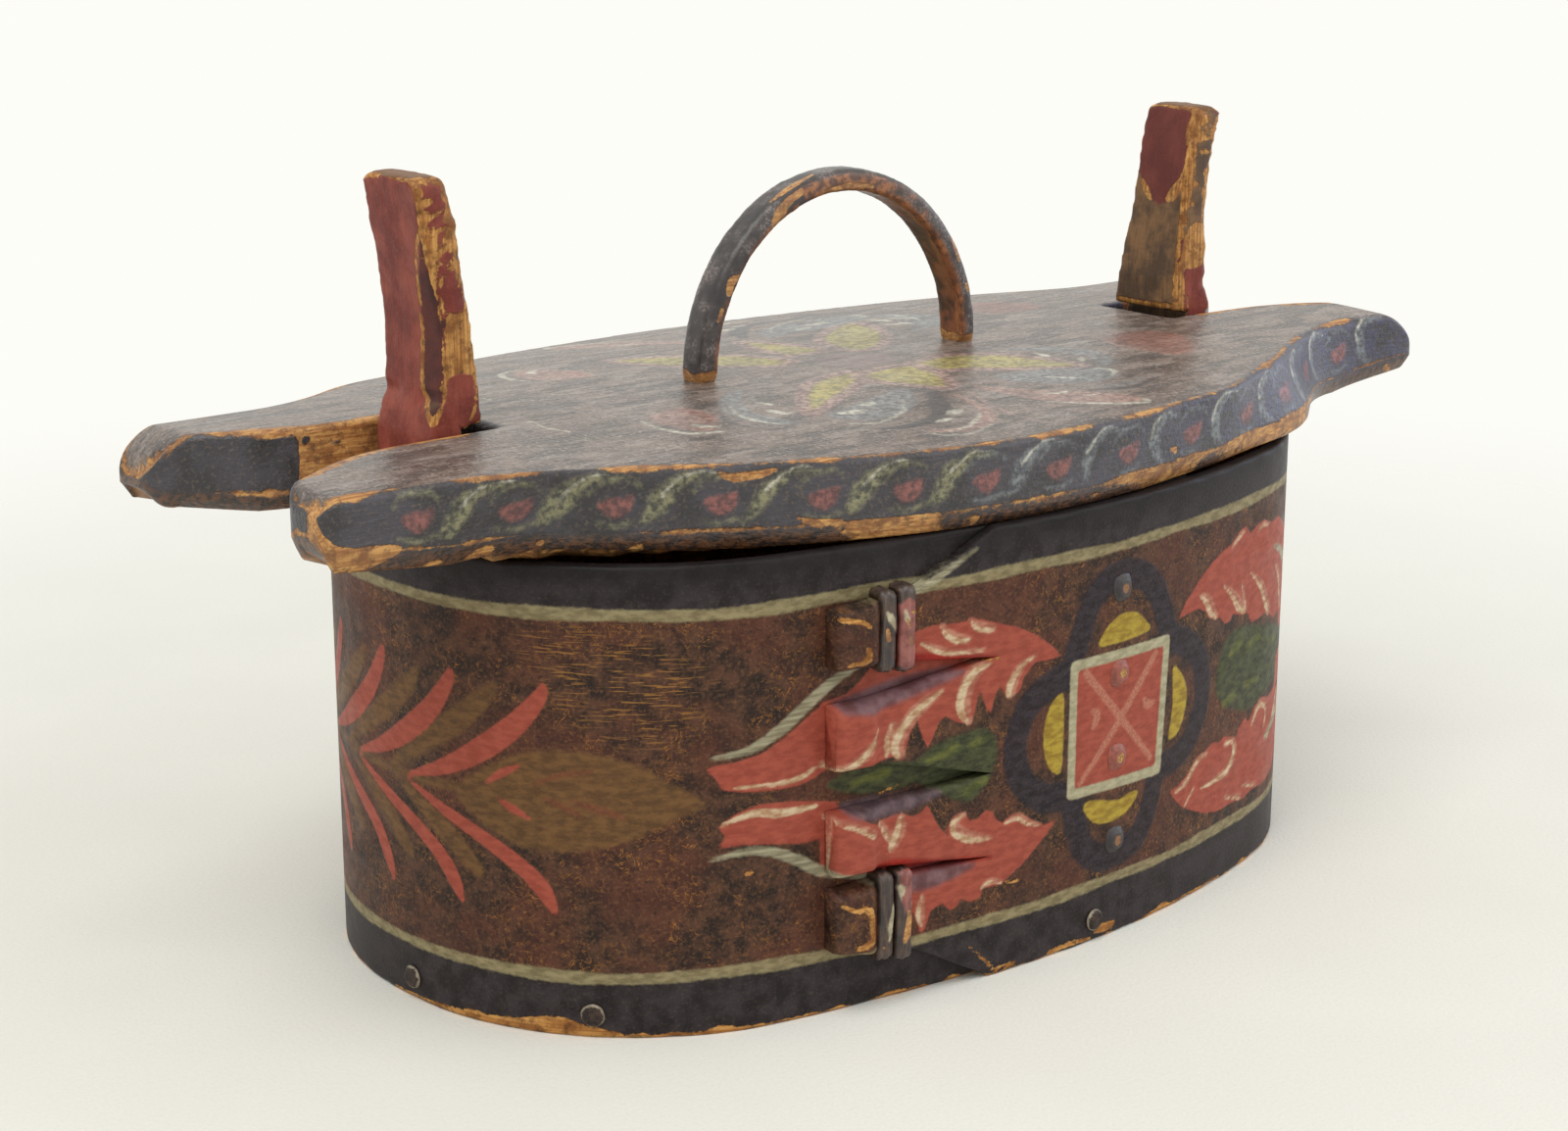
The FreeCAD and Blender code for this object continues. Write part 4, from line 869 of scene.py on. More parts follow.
def edge_heights(tongue, places):
    """Lower and upper edge of a tongue at places along the strip, the lowest tongue first."""
    low, high = TONGUES[tongue]
    stops = [-TONGUE_REACH, -TONGUE_HEEL, -2 * TONGUE_ROOT, -TONGUE_ROOT]
    to_heel = TONGUE_ROOT / (TONGUE_HEEL - TONGUE_ROOT)
    if tongue == 0:
        lower = [low, LAP_LOW_HEEL, LAP_LOW_CORNER, 0.0]
    else:
        root = NOTCH_ROOTS[tongue - 1]
        lower = [low, low, root + (low - root) * to_heel, root]
    if tongue == 3:
        corner = LAP_TOP_CORNER
        share = (TONGUE_HEEL - 2 * TONGUE_ROOT) / (TONGUE_REACH - 2 * TONGUE_ROOT)
        upper = [high, corner + (high - corner) * share, corner, HEIGHT]
    else:
        root, heel = NOTCH_ROOTS[tongue], high + SHOULDER
        upper = [high, heel, root + (heel - root) * to_heel, root]
    return np.interp(places, stops, lower), np.interp(places, stops, upper)


def rounded_rows(low, high, round_low, round_high, count):
    """Heights and depths of a skin's rows between two rounded edges, one line per column."""
    spread_low, spread_high = np.maximum(round_low, EDGE_SPREAD), np.maximum(round_high, EDGE_SPREAD)
    heights, depths = [], []
    for angle in ROUND_ANGLES:
        heights.append(low + spread_low * (1 - math.sin(angle)))
        depths.append(round_low * (1 - math.cos(angle)))
    bottom, top = low + spread_low, high - spread_high
    for share in np.linspace(0, 1, count + 1)[1:-1]:
        heights.append(bottom + share * (top - bottom))
        depths.append(np.zeros_like(low))
    for angle in ROUND_ANGLES[::-1]:
        heights.append(high - spread_high * (1 - math.sin(angle)))
        depths.append(round_high * (1 - math.cos(angle)))
    return np.stack(heights, 1), np.stack(depths, 1)


def group_grids(tongue, places, free):
    """The skins and edges of one of the band's four rows of columns, as depths and heights.

    Free columns belong to a tongue, with an edge above and below; the others only have the band's own
    upper and lower edge, and share the heights of the notches' roots with their neighbours.
    """
    roots = (0.0,) + NOTCH_ROOTS + (HEIGHT,)
    nothing = np.zeros(len(places))
    low, high = nothing + roots[tongue], nothing + roots[tongue + 1]
    grown = nothing
    if free:
        low, high = edge_heights(tongue, places)
        grown = share_of((-places - TONGUE_ROOT) / BEVEL_RUN)
    worn = EDGE_ROUND * (1 + 0.35 * wobble(places[:, None], 9.0, 3, 3))
    at_low = worn if tongue == 0 else grown * LOWER_BEVEL
    at_high = worn if tongue == 3 else grown * UPPER_BEVEL
    count = int((roots[tongue + 1] - roots[tongue]) / ROW_STEP)
    heights, depths = rounded_rows(low, high, at_low, at_high, count)
    inside = low[:, None] + np.linspace(0, 1, INSIDE_ROWS + 1) * (high - low)[:, None]
    grids = [(depths, heights), (np.full_like(inside, WALL), inside)]
    edges = [(low, at_low)] * (free or tongue == 0) + [(high, at_high)] * (free or tongue == 3)
    for edge, at in edges:
        across = at[:, None] + np.linspace(0, 1, WALL_STEPS + 1) * (WALL - at)[:, None]
        grids.append((across, np.repeat(edge[:, None], WALL_STEPS + 1, 1)))
    return grids


def head_rise(places):
    """How far a tongue's face stands proud along the strip: a thick head with a scooped back."""
    back = share_of((-places - TONGUE_HEEL + SCOOP_AHEAD) / SCOOP_LENGTH)
    tip = share_of((TONGUE_REACH + places) / TIP_LENGTH)
    return HEAD_PROUD * back ** 1.5 - TIP_DROP * (1 - np.sqrt(1 - (1 - tip) ** 2))


def make_band():
    """The whole strip, its four tongues and their heads as one closed mesh."""
    points, directions, places = strip_columns()
    vertices, faces, strip, depth_of = [], [], [], []
    first = 0
    for tongue in range(4):
        for use, free in ((places > -TONGUE_ROOT - 0.01, False), (places < -TONGUE_ROOT + 0.01, True)):
            proud = head_rise(places[use]) * free
            for depths, heights in group_grids(tongue, places[use], free):
                columns, rows = depths.shape
                outward = proud[:, None] * (1 - depths / WALL) - depths
                flat = points[use][:, None, :] + directions[use][:, None, :] * outward[:, :, None]
                vertices.append(np.concatenate([flat, heights[:, :, None]], 2).reshape(-1, 3))
                faces += grid_faces(columns, rows, first)
                strip.append(np.repeat(places[use], rows))
                depth_of.append(depths.ravel())
                first += columns * rows
    band = new_piece("band_painted", np.concatenate(vertices), faces, "box", ["band"],
                     {"strip": np.concatenate(strip), "depth": np.concatenate(depth_of)})
    weld(band.data)
    close_holes(band.data)
    return band


# ======== the lid
def lid_quarter(step):
    """One quarter of the lid's outline, from the middle of the side round the horn to the slot."""
    tip, half = LID_HALF_LENGTH, LID_HALF_WIDTH
    neck_x, neck_y = tip - HORN_LENGTH, HORN_HALF_WIDTH
    drop = half - neck_y
    bulge = (neck_x ** 2 + (NECK_RADIUS - drop) ** 2 - NECK_RADIUS ** 2) / (2 * drop)
    meet = math.atan2(neck_y + NECK_RADIUS - (half - bulge), neck_x)
    hollow = (neck_x, neck_y + NECK_RADIUS)
    runs = [arc_points((0, half - bulge), bulge, math.pi / 2, meet, step),
            arc_points(hollow, NECK_RADIUS, meet + math.pi, 1.5 * math.pi, step)]
    corners = [(neck_x, neck_y), (tip, neck_y), (tip, HORN_TIP_INNER),
               (tip - FLARE_LENGTH, SLOT_HALF_WIDTH + FLARE_WIDENING),
               (SLOT_END, SLOT_HALF_WIDTH), (SLOT_END, 0)]
    radii = [HORN_OUTER_ROUND, HORN_INNER_ROUND, FLARE_RADIUS, SLOT_END_ROUND]
    return joined(runs + [rounded_path(corners, radii, step)])


def lid_outline(step):
    """The whole outline, anticlockwise, starting at the middle of the back."""
    one = lid_quarter(step)
    quarters = [one * (-1, 1), (one * (-1, -1))[::-1], one * (1, -1), (one * (1, 1))[::-1]]
    return joined(quarters)[:-1]


def lid_heights(x, y):
    """Underside and top of the lid at places in X and Y."""
    top = LID_TOP - CROWN + np.sqrt(CROWN ** 2 - y ** 2)
    hollow = CROWN - LID_THICKNESS
    under = LID_TOP - CROWN + np.sqrt(hollow ** 2 - y ** 2)
    at_horn = LID_TOP - CROWN + math.sqrt(hollow ** 2 - HORN_HALF_WIDTH ** 2)
    outward = np.abs(x) - LID_HALF_LENGTH + HORN_RISE_LENGTH
    return np.maximum(under, at_horn + HORN_RISE * outward / HORN_RISE_LENGTH), top


# how the carved edge leans at the necks: place, side, spread, how far out at the foot and at the top
LEANS = ((94, -1, 24, 6.7, 0.4), (57, -1, 13, 0.6, 2.0), (-114, -1, 16, -2.6, 2.8),
         (-95, 1, 20, 1.5, 2.8), (95, 1, 22, 4.0, 1.0), (134, -1, 14, -1.0, -2.2))
# how the horns' ends are rounded over, for each corner of the lid: along the horn and down
NOSES = ((1, -1, 10.5, 10.0), (-1, -1, 3.5, 3.0), (-1, 1, 9.0, 8.5), (1, 1, 14.0, 11.0))
HEEL_ROUND = 3.0
RIDGE_START, RIDGE_END, RIDGE_GAP, RIDGE_SHORTER = 2.0, 24.0, 0.35, 4.0
SLOT_CHAMFER_DEPTH, SLOT_CHAMFER_HEIGHT = 2.6, 3.2


def leaning(outline, share):
    """How far out the edge leans at a share of its height, 0 at the underside and 1 at the top."""
    out = np.zeros(len(outline))
    for place, side, spread, low, high in LEANS:
        near = np.exp(-((outline[:, 0] - place) / spread) ** 2)
        near = near * share_of((outline[:, 1] * side - HORN_TIP_INNER) / 6)
        out = out + near * (low + share * (high - low))
    return out


def nose_drop(x, y):
    """How far the top falls and the underside rises where the horns end."""
    drop = np.zeros(np.shape(x))
    for side_x, side_y, length, depth in NOSES:
        inside = share_of((x * side_x - LID_HALF_LENGTH + length) / length) * (y * side_y > 0)
        drop = drop + depth * (1 - (1 - inside ** 1.5) ** (2 / 3))
    heel = share_of((np.abs(x) - LID_HALF_LENGTH + HEEL_ROUND) / HEEL_ROUND)
    return drop, 0.8 * HEEL_ROUND * (1 - np.sqrt(1 - heel ** 2))


def carved_heights(x, y):
    under, top = lid_heights(x, y)
    drop, heel = nose_drop(x, y)
    return under + heel, top - drop


def under_ridge(places, outline):
    """Lower the underside's points near the edge to the band's rim, where the lid is rebated."""
    reach = nearest_distance(places[:, :2], outline)
    along = np.abs(places[:, 0])
    ridge = (reach > RIDGE_START) & (reach < RIDGE_END) & (along < HALF_LENGTH - RIDGE_SHORTER)
    places[ridge, 2] = np.minimum(places[ridge, 2], HEIGHT + RIDGE_GAP)


def plate(outline, grid_step, height_of):
    """Points and triangles of a surface that fills a closed outline."""
    low, high = outline.min(0), outline.max(0)
    grid = np.stack(np.meshgrid(np.arange(low[0], high[0], grid_step),
                                np.arange(low[1], high[1], grid_step)), -1).reshape(-1, 2)
    grid = grid[inside_polygon(grid, outline)]
    grid = grid[nearest_distance(grid, outline) > 0.55 * grid_step]
    flat = np.concatenate([outline, grid])
    count = len(outline)
    border = [(i, (i + 1) % count) for i in range(count)]
    result = delaunay_2d_cdt([Vector(p) for p in flat.tolist()], border, [], 1, 1e-7)
    placed = np.array([tuple(p) for p in result[0]])
    return np.column_stack([placed, height_of(placed)]), result[2]


LID_STEP, TOP_STEP, UNDER_STEP = 0.95, 1.0, 4.0
LID_EDGE_ROUND = 1.3
LID_COLOURS = ("petal", "petal_rim", "centre", "blue", "rose", "red", "sage", "pink", "white", "shade",
               "chips", "wear")

# the lid's paint is laid out on sheets side by side: its top, the front half of its edge and the back
# half, with the distance along the edge from the middle of the side across and the height up
FRONT_SHEET, BACK_SHEET, UNDER_SHEET = 1000.0, 2000.0, 3000.0


def lid_rings(outline):
    """The rings of points that make the lid's edge, from the underside up, with their insets."""
    under, top = carved_heights(*outline.T)
    outer = np.abs(outline[:, 1]) > HORN_TIP_INNER - 3
    in_slot = np.abs(outline[:, 0]) > SLOT_END + 1
    chamfer = np.where(outer, CHAMFER_DEPTH, SLOT_CHAMFER_DEPTH * in_slot)
    rise = np.where(outer, CHAMFER_HEIGHT, SLOT_CHAMFER_HEIGHT)
    rise = np.minimum(rise, 0.4 * (top - under))
    worn = LID_EDGE_ROUND * (1 + 0.22 * wobble(outline, 20.0, 5))
    nothing = np.zeros(len(outline))
    rings = [(chamfer + 0.4, under), (chamfer, under + 0.4)]
    for share in (0.5, 1.0):
        rings.append((chamfer * (1 - share), under + rise * share))
    bottom, ceiling = under + rise, top - worn
    for share in np.linspace(0, 1, 16)[1:-1]:
        rings.append((nothing, bottom + share * (ceiling - bottom)))
    for angle in np.radians([0, 22, 45, 67, 90]):
        rings.append((worn * (1 - math.cos(angle)), ceiling + worn * math.sin(angle)))
    return [(inset - leaning(outline, (height - under) / (top - under)), height)
            for inset, height in rings]


def edge_sheets(outline):
    """Where each point of the outline lies along the sheets of the lid's edge."""
    along = walked(np.concatenate([outline, outline[:1]]))
    length = along[-1]
    along = along[:-1]
    along = np.where(along > length / 2, along - length, along)
    front = np.abs(along) > length / 4
    from_front = along - np.sign(along) * length / 2
    return np.where(front, FRONT_SHEET + from_front, BACK_SHEET - along)


def nearest_distance(points, line):
    near = np.full(len(points), np.inf)
    for point in line:
        np.minimum(near, np.hypot(*(points - point).T), out=near)
    return near


def make_lid():
    outline = lid_outline(LID_STEP)
    outward = closed_normals(outline)
    count = len(outline)
    under, top = carved_heights(*outline.T)
    sheet = edge_sheets(outline)
    vertices, plans, to_rim = [], [], []
    for inset, height in lid_rings(outline):
        vertices.append(np.column_stack([outline - outward * inset[:, None], height]))
        plans.append(np.column_stack([sheet, height - under, np.zeros(count)]))
        to_rim.append(np.maximum(top - height, 0))
    faces = grid_faces(len(vertices), count, 0, close_columns=True)
    for border, step, side, shift in ((vertices[0], UNDER_STEP, 0, UNDER_SHEET),
                                      (vertices[-1], TOP_STEP, 1, 0.0)):
        placed, triangles = plate(border[:, :2], step, lambda p: carved_heights(*p.T)[side])
        placed[:count, 2] = border[:, 2]
        if side == 0:
            under_ridge(placed, border[:, :2])
        first = sum(len(part) for part in vertices)
        faces += [tuple(i + first for i in triangle) for triangle in triangles]
        vertices.append(placed)
        plans.append(np.column_stack([placed[:, 0] + shift, placed[:, 1], np.ones(len(placed))]))
        to_rim.append(nearest_distance(placed[:, :2], border[:, :2]))
    lid = new_piece("lid_painted", np.concatenate(vertices), faces, "lid_unit", ["lid"],
                    {"plan": np.concatenate(plans), "to_rim": np.concatenate(to_rim)})
    weld(lid.data, 0.02)
    return lid


# ======== the lid's painted motifs
# drawings of (across, back) on the lid's top
PETALS = """-6 -13, -20 -16, -32 -27, -40 -39, -27 -32, -14 -24, -8 -19 | -9 -18, 0 -15, 10 -16, 9 -25,
  1.5 -37, -6.5 -28 | 11 -14, 24 -13, 35 -21, 42 -38, 30 -34, 18 -27, 9 -22 | 9 6, 13 20, 24 30, 37 37,
  35 24, 27 12, 15 3 | -5.5 9, -4.5 22, 0 34, 4.5 22, 5.5 9 | -8 4, -13 18, -24 28, -37 35, -35 22,
  -26 10, -15 1"""
LID_FRONT_SCROLLS = """
blue: -38 -14 .8, -46 -20 2, -51 -29 2.8, -51 -37 2.6, -47 -43 1;
white: -49 -23 .2, -52.6 -31 .55, -52.4 -38 .6, -49 -42.6 .2 | -45 -31 .7, -44.6 -33.5 1.3, -43 -36.2 .8
  | -42.6 -25 .6, -41.6 -27.5 1 | -38 -48.6 .3, -31 -51 .6, -21 -46.6 .5, -14.6 -39.4 .2 | -34 -41.5 .8,
  -31 -42.2 1.6, -28 -42 .9 | -26 -38.6 .6, -23.5 -38.6 1.1, -21.5 -38 .5 | -27.5 -60 .3, -26.5 -64 .5,
  -20 -66 .5, -10 -63 .3 | -26.7 -62.7 .2, -18.3 -62.6 .55, -10 -57.8 .5, -6.7 -54.4 .2 | -14.5 -53.6 .7,
  -12 -52.8 1.6, -10 -52 .7 | -20.5 -56.6 .5, -18 -56.2 1, -16 -56 .4 | 11 -56 .3, 20 -62.6 .6,
  30 -67 .7, 32.4 -65.6 .9 | 15 -51 .3, 19.5 -53 .7, 21.5 -52.4 .4 | 21 -56 .2, 25 -57.6 .4, 27 -57 .2;
shade: -53 -25 .2, -57.5 -34 .5, -56.5 -41 .5, -52 -44 .2 | -37 -53 .4, -29 -56 1.2, -18 -54 2,
  -10 -46 2.4, -5 -38 1.2;
blue/3: -38 -42, -31 -39, -21 -36, -8 -32, -12 -41, -22 -48, -32 -49;
rose: -26 -61 .8, -18 -63.5 1.6, -9 -59.5 1.8, -4 -52 1.3, -2 -42 .5;
petal_rim: 0 -69 .2, -2.5 -60 .5, -.5 -50 .6, 2.5 -42 .3;
rose/3: 6.7 -38, 14 -46, 22.5 -53, 31 -60, 32 -66, 24 -64.5, 13 -57, 7.5 -47;
"""
LID_RIGHT_SCROLLS = """
blue/3: 16 -35, 19 -42, 29 -49, 41 -48.5, 44.5 -42.5, 38 -38, 27 -35;
white: 37 -42 .2, 43 -41.8 .5, 44 -45 .8, 40.5 -48 .4 | 26 -41 .3, 29 -43 .7, 32 -45.5 .4 | 41 -22.6 .5,
  41.4 -25.4 1.2, 40.6 -27.6 .4 | 43.6 -35.6 .3, 46 -33 .8, 47.4 -31.6 .3;
shade: 26 -53.5 .3, 37 -57 1, 48 -54 .6;
blue: 27 -51 .3, 37 -54.6 .8, 48 -51.5 .4 | 38 -16 .8, 45 -20 2.4, 51 -28 3.4, 50 -36 2.2, 46 -40 .8;
red/3: 66 -21, 74 -18, 82 -20, 85 -26, 81 -34, 74 -41, 68 -41, 66 -33;
rose: 66 -19 .4, 64 -28 .8, 67 -39 .8, 72 -43 .3;
"""
LID_LEFT_SCROLLS = """
rose/3: -70 -24, -64 -20, -58 -20, -56.5 -27, -60 -34, -65 -38, -69.5 -34;
white: -72 -23 .2, -73.4 -30 .7, -70.5 -37.5 .8, -64 -39.8 .5 | -65 -31.5 .4, -65.2 -34 1.1, -62.6 -36 .8
  | -99 -8 .2, -96.5 -10.4 .4, -90.6 -11.4 .3 | -90.6 -12 .2, -91.6 -18 .45, -89.6 -23.5 .3;
red: -60 -22 .5, -58.6 -27 1.1, -60 -31 .7;
"""
ROSE_MIDDLE, ROSE_HEART = (3.0, -4.4), (9.6, 8.2)
VEINS = ((-25, -22), (-20, -27), (-31, -31), (0, -24), (25, -20), (31, -28), (20, 20), (28, 27))
# drawings of (along, up) on the lid's edge
FRONT_EDGE_CHIPS = """
chips: -82 15.6 .4, -79 14.6 .9, -74 15 .9, -70 15.8 .4 | 34 7.6 .5, 36 7 .8 | -66 6 .3, -62 4.6 .9,
  -56 4.6 .5 | -56 2.6 .6, -50 1.8 1.8, -46 1.4 1 | -27 1.2 .5, -24.5 1.4 1.2 | -140 .6 .8, -137 .8 .9 |
  -131 .6 .6, -127 1.6 1.2, -124 1 .6 | -117 1.4 .5, -116 2.2 .7 | -100 .8 .5, -97 1 .9 | 8 1.6 .7,
  9.6 2 .7 | 153 2 .9, 155 .5 .9 | 167 1 1.2 | -165 14 .6, -166 9 1.2, -164 4 3, -158 2.2 3,
  -152 3.2 2.2, -147 4.4 .8;
"""
BACK_EDGE_CHIPS = """
chips: 163 15 .8, 166 10 1.8, 166 4 1.8 | -163 15 .6, -166 8 1.4 | -60 1.6 .7, -48 1.2 1.2, -40 2 .6 |
  52 15 .6, 60 14.8 .9, 68 15.4 .5;
"""
# the drops along the lid's edge, from the middle of the side, and the scroll between two of them
DROPS = (-143.1, -122.0, -102.3, -81.5, -60.2, -41.5, -22.3, -3.0, 19.0, 42.1, 65.9, 88.0, 110.0, 134.0)
DROP = "pink: -2.4 9.8 1, 0 9.2 2, 1.8 9.9 1.5, 3.2 11.4 .4;"
SCROLL_SLANTED = "5.3 6.2 .5, 7.2 8.2 1.6, 9.2 11 2.3, 12.4 14 1.3, 16.5 15.4 .7, 20 14.8 .25"
SCROLL_HOOKED = "12.8 5 .3, 9.6 7.4 1.2, 8.4 10.6 1.8, 9.6 13.8 1.3, 13.4 15.2 .7, 18 14.6 .25"
SCROLL_HAIRS = "-5.5 12 .15, -2.5 14.6 .4, 2.5 14.9 .3, 5 13.2 .12 | -4 6.2 .1, 0 5.4 .35, 4 6.6 .12"


def paint_rose(paint):
    """The faded six-leaved rose in the middle of the lid's top."""
    for petal in paths_of(PETALS):
        paint.fill("petal", petal, 4)
        paint.stroke("petal_rim", [(x, y, 1.5) for x, y in petal + petal[:1]], 3)
    paint.fill("centre", [(ROSE_MIDDLE[0] + ROSE_HEART[0] * math.cos(turn),
                           ROSE_MIDDLE[1] + ROSE_HEART[1] * math.sin(turn))
                          for turn in np.linspace(0, 2 * math.pi, 13)[:-1]], 2)
    for x, y in VEINS:
        paint.stroke("sage", [(x - 2.2, y - 2.0, 0.25), (x, y, 0.5), (x + 1.8, y + 2.2, 0.2)])


def paint_lid_top(paint):
    """The rose and the scrolls round it; behind the rose they are mirrored."""
    paint_rose(paint)
    paint.draw(LID_FRONT_SCROLLS + LID_RIGHT_SCROLLS + LID_LEFT_SCROLLS)
    flipped = Paint(paint.places * (1, -1))
    flipped.colours = paint.colours
    flipped.layout(0, -1).draw(LID_FRONT_SCROLLS)
    flipped.layout(4).draw(LID_RIGHT_SCROLLS)
    flipped.layout(6).draw(LID_LEFT_SCROLLS)


def paint_edge_scrolls(paint, sheet, seed):
    """The running scrolls and pink drops along one side of the lid's edge."""
    random = np.random.default_rng(seed)
    (slanted,), (hooked,) = paths_of(SCROLL_SLANTED), paths_of(SCROLL_HOOKED)
    for drop in DROPS:
        paint.layout(sheet + drop).draw(DROP)
        share = share_of((drop + 20) / 40)
        scroll = (1 - share) * np.array(slanted) + share * np.array(hooked)
        scroll[:, :2] += random.normal(size=(len(scroll), 2)) * 0.35
        colour = "sage" if drop < -30 else "blue"
        paint.stroke(colour, scroll * (1, 1, random.uniform(0.75, 1.15)))
        paint.stroke("white", scroll[2:] * (1, 1, 0.16 + 0.1 * share) + (-0.9 * share, 0.6, 0))
        for hair in paths_of(SCROLL_HAIRS):
            paint.stroke(colour, hair)


# the lid's zones of wear: how far from its middle line and how far along it they reach
SLOT_ZONE, SLOT_ZONE_END, SLOT_MOUTH_END = 16, 106, 130
FORK_ZONE, FORK_START, FRONT_ZONE = 25, 104, 100
NO_PAINT = -5


def lid_wear(places, plan, to_rim, on_edge):
    """Where the lid's paint is rubbed off: its rims, the chamfer's line and the slots' walls."""
    x, y = np.abs(places[:, :2]).T
    up = plan[:, 1]
    slotwards = share_of((x - FORK_START) / 6) * (y < FORK_ZONE)
    by_slot = (y < SLOT_ZONE) & (x < SLOT_ZONE_END)
    rim = 0.15 + 0.8 * slotwards + 0.5 * wobble(places, 12.0, 41, 3) * (1 + slotwards) - to_rim
    low = 0.25 + 0.6 * wobble(places, 18.0, 42, 3) - np.abs(up - CHAMFER_HEIGHT)
    low = np.where(on_edge, low, NO_PAINT)
    front_low = on_edge & (places[:, 1] < 0) & (x < FRONT_ZONE) & (up < CHAMFER_HEIGHT)
    foot = 0.9 * wobble(places, 22.0, 44) + places[:, 0] / 110 - 0.15
    low = np.where(front_low, np.maximum(low, foot), low)
    by_post = on_edge & (y < SLOT_ZONE) & ~by_slot & (x < SLOT_MOUTH_END)
    slot_wall = np.where(by_post, 1.6 + 2.4 * wobble(places, 9.0, 45, 3), NO_PAINT)
    return np.maximum.reduce([rim - 3 * by_slot, low, slot_wall])


def paint_lid(lid):
    mesh = lid.data
    plan = read_attribute(mesh, "plan")
    paint = Paint(plan[:, :2])
    paint_lid_top(paint)
    for sheet, seed, chips in ((FRONT_SHEET, 31, FRONT_EDGE_CHIPS), (BACK_SHEET, 32, BACK_EDGE_CHIPS)):
        paint_edge_scrolls(paint, sheet, seed)
        paint.layout(sheet).draw(chips)
    on_edge = plan[:, 0] > FRONT_SHEET / 2
    to_rim = read_attribute(mesh, "to_rim")
    paint.colours["wear"] = lid_wear(vertex_places(mesh), plan, to_rim, on_edge)
    paint.store(mesh, LID_COLOURS)
    add_attribute(mesh, "on_edge", on_edge * 1.0)
    add_attribute(mesh, "chamfer", share_of(CHAMFER_HEIGHT - plan[:, 1]) * on_edge)
    add_attribute(mesh, "under", (plan[:, 0] > (UNDER_SHEET + BACK_SHEET) / 2) * 1.0)


def painted_lid():
    graph = Graph("lid_paint")
    place = graph.place()
    grain = graph.turned(place, (0.12, 1.3, 1.3))
    frays = graph.noise(place, 1.4, 4, 0.65)
    streaks = graph.noise(grain, 1.0, 3)
    wide = graph.noise(place, 9.0, 5, 0.65)
    fine = graph.noise(place, 0.8, 3)
    brush = graph.noise(place, 1.5, 4, 0.6)
    wrinkles = graph.noise(graph.turned(place, (0.25, 1, 1)), 4.5, 5, 0.65)
    crossing = graph.noise(graph.turned(place, (0.3, 1, 1), shift=(40, 7, 3)), 4.0, 5, 0.65)
    top = graph.tones(wide, 0.38, 0.64, (86, 74, 68), (142, 126, 117))
    top = graph.washed(top, (streaks, 0.42, 0.66, 0.5, (112, 90, 78)),
                       (crossing, 0.5, 0.62, 0.6, (160, 147, 140)),
                       (wrinkles, 0.5, 0.6, 0.65, (58, 51, 50)),
                       (graph.noise(place, 1.2, 3, 0.6), 0.52, 0.66, 0.6, (44, 39, 38)),
                       # painted highlights: these pale specks stand in for small glints on the rough
                       # paint
                       (fine, 0.54, 0.66, 0.6, (176, 164, 156)))
    side = graph.tones(wide, 0.38, 0.64, (44, 40, 43), (66, 62, 70))
    side = graph.washed(side, (fine, 0.54, 0.66, 0.36, (116, 100, 84)))
    # painted reflection: the edge's dark paint turns bluish towards the right, standing in for a bluish
    # sheen
    rightwards = graph.step(graph.part_of(place, 0), -20, 80)
    blue_sheen = graph.scaled(rightwards, graph.step(brush, 0.4, 0.62))
    side = graph.mix(graph.scaled(blue_sheen, 0.75), side, (64, 66, 98))
    brown = graph.tones(brush, 0.4, 0.62, (52, 40, 34), (112, 74, 46))
    side = graph.mix(graph.scaled(graph.attribute("chamfer"), 0.85), side, brown)
    edge = graph.attribute("on_edge")
    layers = (("petal", 0.7, 0.7, (132, 120, 66), (192, 178, 102), brush, 0.95),
              ("petal_rim", 0.5, 0.6, (110, 84, 84), (190, 158, 148), brush, 0.9),
              ("centre", 0.9, 1.2, (116, 92, 90), (142, 118, 114), brush, 0.8),
              ("shade", 0.6, 0.6, (36, 35, 40), (70, 70, 76), brush, 0.85),
              ("blue", 0.9, 0.8, (70, 74, 80), (150, 156, 158), brush, 0.66),
              ("rose", 0.7, 0.8, (124, 90, 84), (190, 154, 140), brush, 0.8),
              ("red", 0.8, 1.4, (118, 72, 64), (172, 118, 106), brush, 0.65),
              ("sage", 0.9, 0.9, (62, 62, 48), (164, 160, 120), brush, 0.68),
              ("pink", 0.7, 0.6, (92, 54, 54), (158, 96, 88), brush, 0.8),
              ("white", 0.4, 0.35, (150, 146, 132), (222, 218, 202), brush, 0.85))
    colour, raised = graph.painted(graph.mix(edge, top, side), layers, frays)
    on_top = graph.math("SUBTRACT", 1.0, edge)
    cracked = graph.scaled(graph.step(wrinkles, 0.52, 0.62), 0.28)
    colour = graph.mix(graph.scaled(cracked, on_top), colour, (66, 58, 56))
    rubbed = graph.scaled(graph.step(graph.noise(grain, 2.6, 4, 0.7), 0.5, 0.66), 0.5)
    colour = graph.mix(graph.scaled(rubbed, on_top), colour, (112, 100, 92))
    worn = graph.most(graph.inside("chips", 0.6, 0.15, frays), graph.inside("wear", 0.8, 0.25, frays))
    worn = graph.most(worn, graph.scaled(graph.attribute("under"), 0.85))
    colour = graph.mix(worn, colour, bare_wood(graph, place))
    height = graph.total(graph.scaled(raised, 0.35), (worn, -1), (fine, 0.45), (streaks, 0.9),
                         (brush, 1.0), (wrinkles, -1.5))
    return graph.finish(colour, graph.gloss(wide, worn, 0.3, 0.44), height, 0.32, 0.2)


